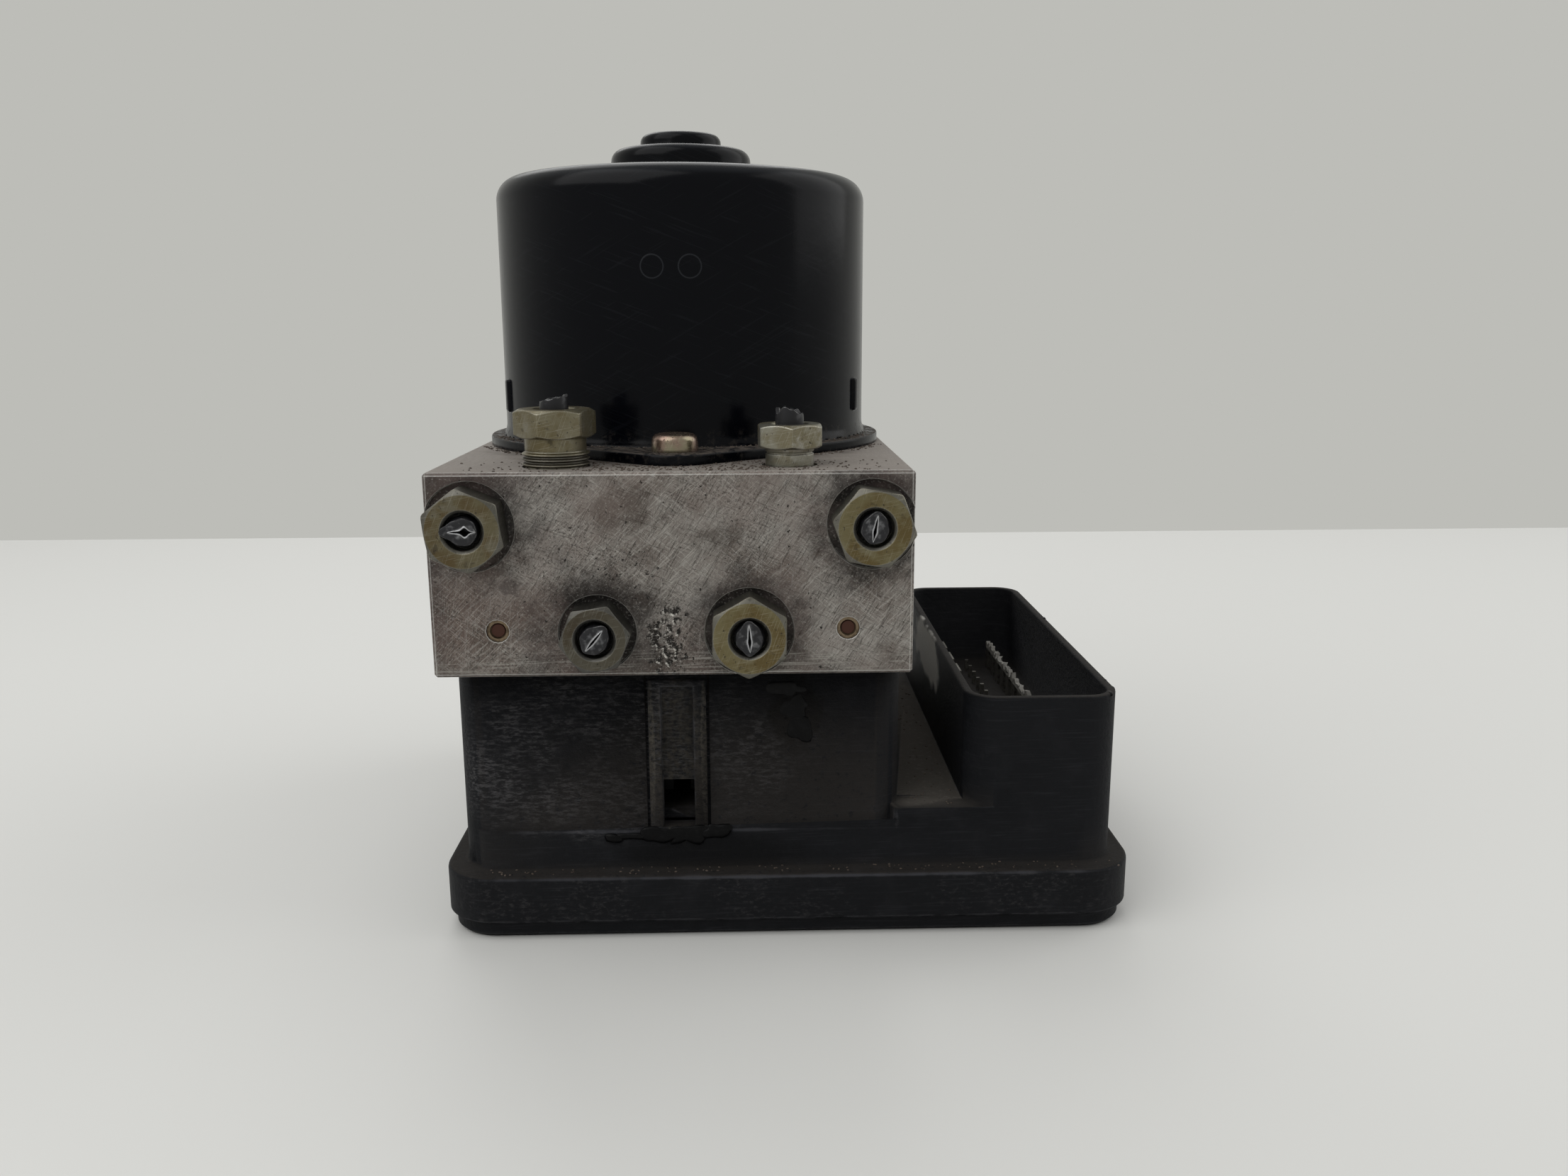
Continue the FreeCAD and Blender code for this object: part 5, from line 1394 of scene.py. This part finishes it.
def make_scraps():
    bm = bmesh.new()
    for across, up, wide, tall, seed in TORN:
        add_scrap(bm, (across, -56.7, up), (wide, 0.55, tall), 0.7, seed)
    for across, up, wide, tall, seed in MELTED:
        add_scrap(bm, (across, -55.1, up), (wide, 0.45, tall), 0.8, seed)
    for place, seed in BURRS:
        add_scrap(bm, place, (0.3, 1.0, 0.35), 1.0, seed, detail=2)
    settle(bm, "torn plastic", FINISHES["torn"], sharp=60.0)


make_scraps()

# %% [markdown]
# The row of blades ends in a broken, pale crest of plastic and bent metal. A long narrow grid is
# extruded upwards, and its upper row of points follows a wave for the teeth and a noise for what
# has broken off.

# %% The broken crest
def make_crest():
    bm = bmesh.new()
    place = Matrix.Translation((0.0734, 0.005, 0.0)) @ Matrix.Rotation(math.radians(90), 4, "Z")
    shape = place @ Matrix.Diagonal((0.046, 0.0009, 1.0, 1.0))
    strip = bmesh.ops.create_grid(bm, x_segments=90, y_segments=1, size=0.5, matrix=shape)["verts"]
    for vert in strip:
        vert.co.z = 0.0312
    walls = bmesh.ops.extrude_face_region(bm, geom=bm.faces[:])["geom"]
    top = [item for item in walls if isinstance(item, bmesh.types.BMVert)]
    for vert in top:
        along = vert.co.y / MM
        tooth = 0.5 + 0.5 * math.sin(along * 2.1)
        chip = noise.noise(Vector((along * 0.55, 3.0, 0.0)))
        vert.co.z += (0.7 + 1.0 * tooth + 1.3 * chip) * MM
        vert.co.x += 0.6 * noise.noise(Vector((along * 0.8, 9.0, 0.0))) * MM
    settle(bm, "broken crest", FINISHES["crest"], sharp=50.0)


make_crest()

# %% [markdown]
# Loose grit lies along the motor's flange and on the ledges. It could be scattered by a particle
# system, but hundreds of grains are cheap when each is a ball of twenty faces. A fixed start for
# the random numbers makes every run the same.

# %% Grit on the ledges
ON_TOP, ON_FLANGE, ON_SHELF, ON_FOOT = 86.65, 88.65, 23.15, 12.35


def scatter_spots(chance):
    """Places for grains: round the motor, on the block's top, on the shelf and on the foot."""
    spots = []
    for _ in range(620):
        angle = chance.uniform(math.radians(200), math.radians(340))
        away = chance.choice((chance.uniform(41.6, 44.0), chance.uniform(38.4, 41.0)))
        height = ON_TOP if away > 41.5 else ON_FLANGE
        spots.append((away * math.cos(angle), away * math.sin(angle), height))
    for _ in range(700):
        spots.append((chance.gauss(2.0, 17.0), chance.uniform(-59.0, -44.0), ON_TOP))
    spots = [spot for spot in spots if abs(spot[0]) < 41.5]
    for _ in range(90):
        spots.append((chance.uniform(43.0, 52.0), chance.uniform(-55.0, 20.0), ON_SHELF))
    for _ in range(110):
        spots.append((chance.uniform(-40.0, 82.0), chance.uniform(-60.0, -57.2), ON_FOOT))
    return spots


def make_grit():
    chance = random.Random(7)
    bm = bmesh.new()
    for spot in scatter_spots(chance):
        size = chance.uniform(0.1, 0.36) * MM
        turn = Matrix.Rotation(chance.uniform(0, math.tau), 4, "Z")
        grain = turn @ Matrix.Diagonal((1.0, 0.6, 0.5, 1.0))
        place = Matrix.Translation(Vector(spot) * MM) @ grain
        bmesh.ops.create_icosphere(bm, subdivisions=1, radius=size, matrix=place)
    settle(bm, "grit", FINISHES["grit"], sharp=80.0)


make_grit()

# %% [markdown]
# Pale fluff has caught in the corner where the bearing boss rises from the can. Blender's own hair
# would be lost in an exported model, so each fibre is a thin cone with three sides, and a random
# lean turns it its own way.

# %% Fluff at the boss
def make_fluff():
    chance = random.Random(11)
    bm = bmesh.new()
    for _ in range(170):
        angle = math.radians(chance.gauss(262.0, 26.0))
        length = chance.uniform(0.4, 1.5)
        forward = Matrix.Rotation(chance.uniform(-1.1, 1.1), 4, "X")
        sideways = Matrix.Rotation(chance.uniform(-1.1, 1.1), 4, "Y")
        away = chance.uniform(15.2, 15.9)
        spot = Vector((away * math.cos(angle), away * math.sin(angle), 140.5)) * MM
        lean = forward @ sideways
        place = Matrix.Translation(spot) @ lean @ Matrix.Translation((0.0, 0.0, 0.5 * length * MM))
        fibre = {"cap_ends": True, "segments": 3, "radius1": 0.07 * MM, "radius2": 0.02 * MM}
        bmesh.ops.create_cone(bm, depth=length * MM, matrix=place, **fibre)
    settle(bm, "fluff", FINISHES["fluff"], sharp=80.0)


make_fluff()

# %% [markdown]
# The unit stands on a plain pale table, which ends a little behind it, as in the photograph. It
# could be an endless curved backdrop, but then the table's far edge would be missing.

# %% The table
def make_stage():
    bm = bmesh.new()
    place = Matrix.Translation((0.0, -0.31, -0.00005)) @ Matrix.Diagonal((1.8, 1.38, 1.0, 1.0))
    bmesh.ops.create_grid(bm, x_segments=1, y_segments=1, size=0.5, matrix=place)
    mesh = bpy.data.meshes.new("table")
    bm.to_mesh(mesh)
    bm.free()
    top = Finish("table", paint(226, 226, 222), 0.6)
    mesh.materials.append(top.done())
    table = bpy.data.objects.new("table", mesh)
    bpy.context.scene.collection.objects.link(table)


make_stage()
print("table set")

# %% [markdown]
# Past the table's edge the plain world shows as a wall. The world also gives a soft even light, so
# it has two strengths: what lights the unit is dim, and what the camera and shiny metal see of it
# is a set colour that lights nothing. The kind of ray that asks decides which of them it gets.

# %% The wall and the even light
def make_world():
    world = bpy.data.worlds.new("room")
    bpy.context.scene.world = world
    world.use_nodes = True
    tree = world.node_tree
    tree.nodes.clear()
    path = put(tree, "ShaderNodeLightPath")
    seen = reckon(tree, "MAXIMUM", path.outputs["Is Camera Ray"], path.outputs["Is Glossy Ray"])
    seen = reckon(tree, "MAXIMUM", seen, path.outputs["Is Transmission Ray"])
    light = put(tree, "ShaderNodeBackground", {"Color": (1.0, 1.0, 1.0, 1.0), "Strength": 0.42})
    wall = put(tree, "ShaderNodeBackground", {"Color": paint(189, 189, 184), "Strength": 1.0})
    both = put(tree, "ShaderNodeMixShader", {0: seen, 1: light.outputs[0], 2: wall.outputs[0]})
    leave = put(tree, "ShaderNodeOutputWorld")
    tree.links.new(both.outputs[0], leave.inputs["Surface"])


make_world()
print("wall and even light set")

# %% [markdown]
# Three large soft lamps do the rest: a strong one as from a window, in front on the left, and two
# weaker ones at the right and behind, which draw pale lines along the edges. A large lamp gives
# soft shadows and long smooth highlights on the gloss of the can.

# %% The lamps
def add_lamp(name, place, power, size):
    """A square soft lamp that looks at the middle of the unit."""
    data = bpy.data.lights.new(name, "AREA")
    data.energy = power
    data.size = size
    lamp = bpy.data.objects.new(name, data)
    aim = Vector((0.015, 0.0, 0.06)) - Vector(place)
    lamp.matrix_world = Matrix.Translation(place) @ aim.to_track_quat("-Z", "Y").to_matrix().to_4x4()
    bpy.context.scene.collection.objects.link(lamp)


add_lamp("window", (-0.45, -0.35, 0.75), 3.7, 0.9)
add_lamp("far side", (0.7, 0.1, 0.55), 1.9, 0.8)
add_lamp("behind", (-0.1, 0.6, 0.7), 1.6, 0.6)
bpy.context.scene.view_settings.view_transform = "Standard"
print("lamps set")
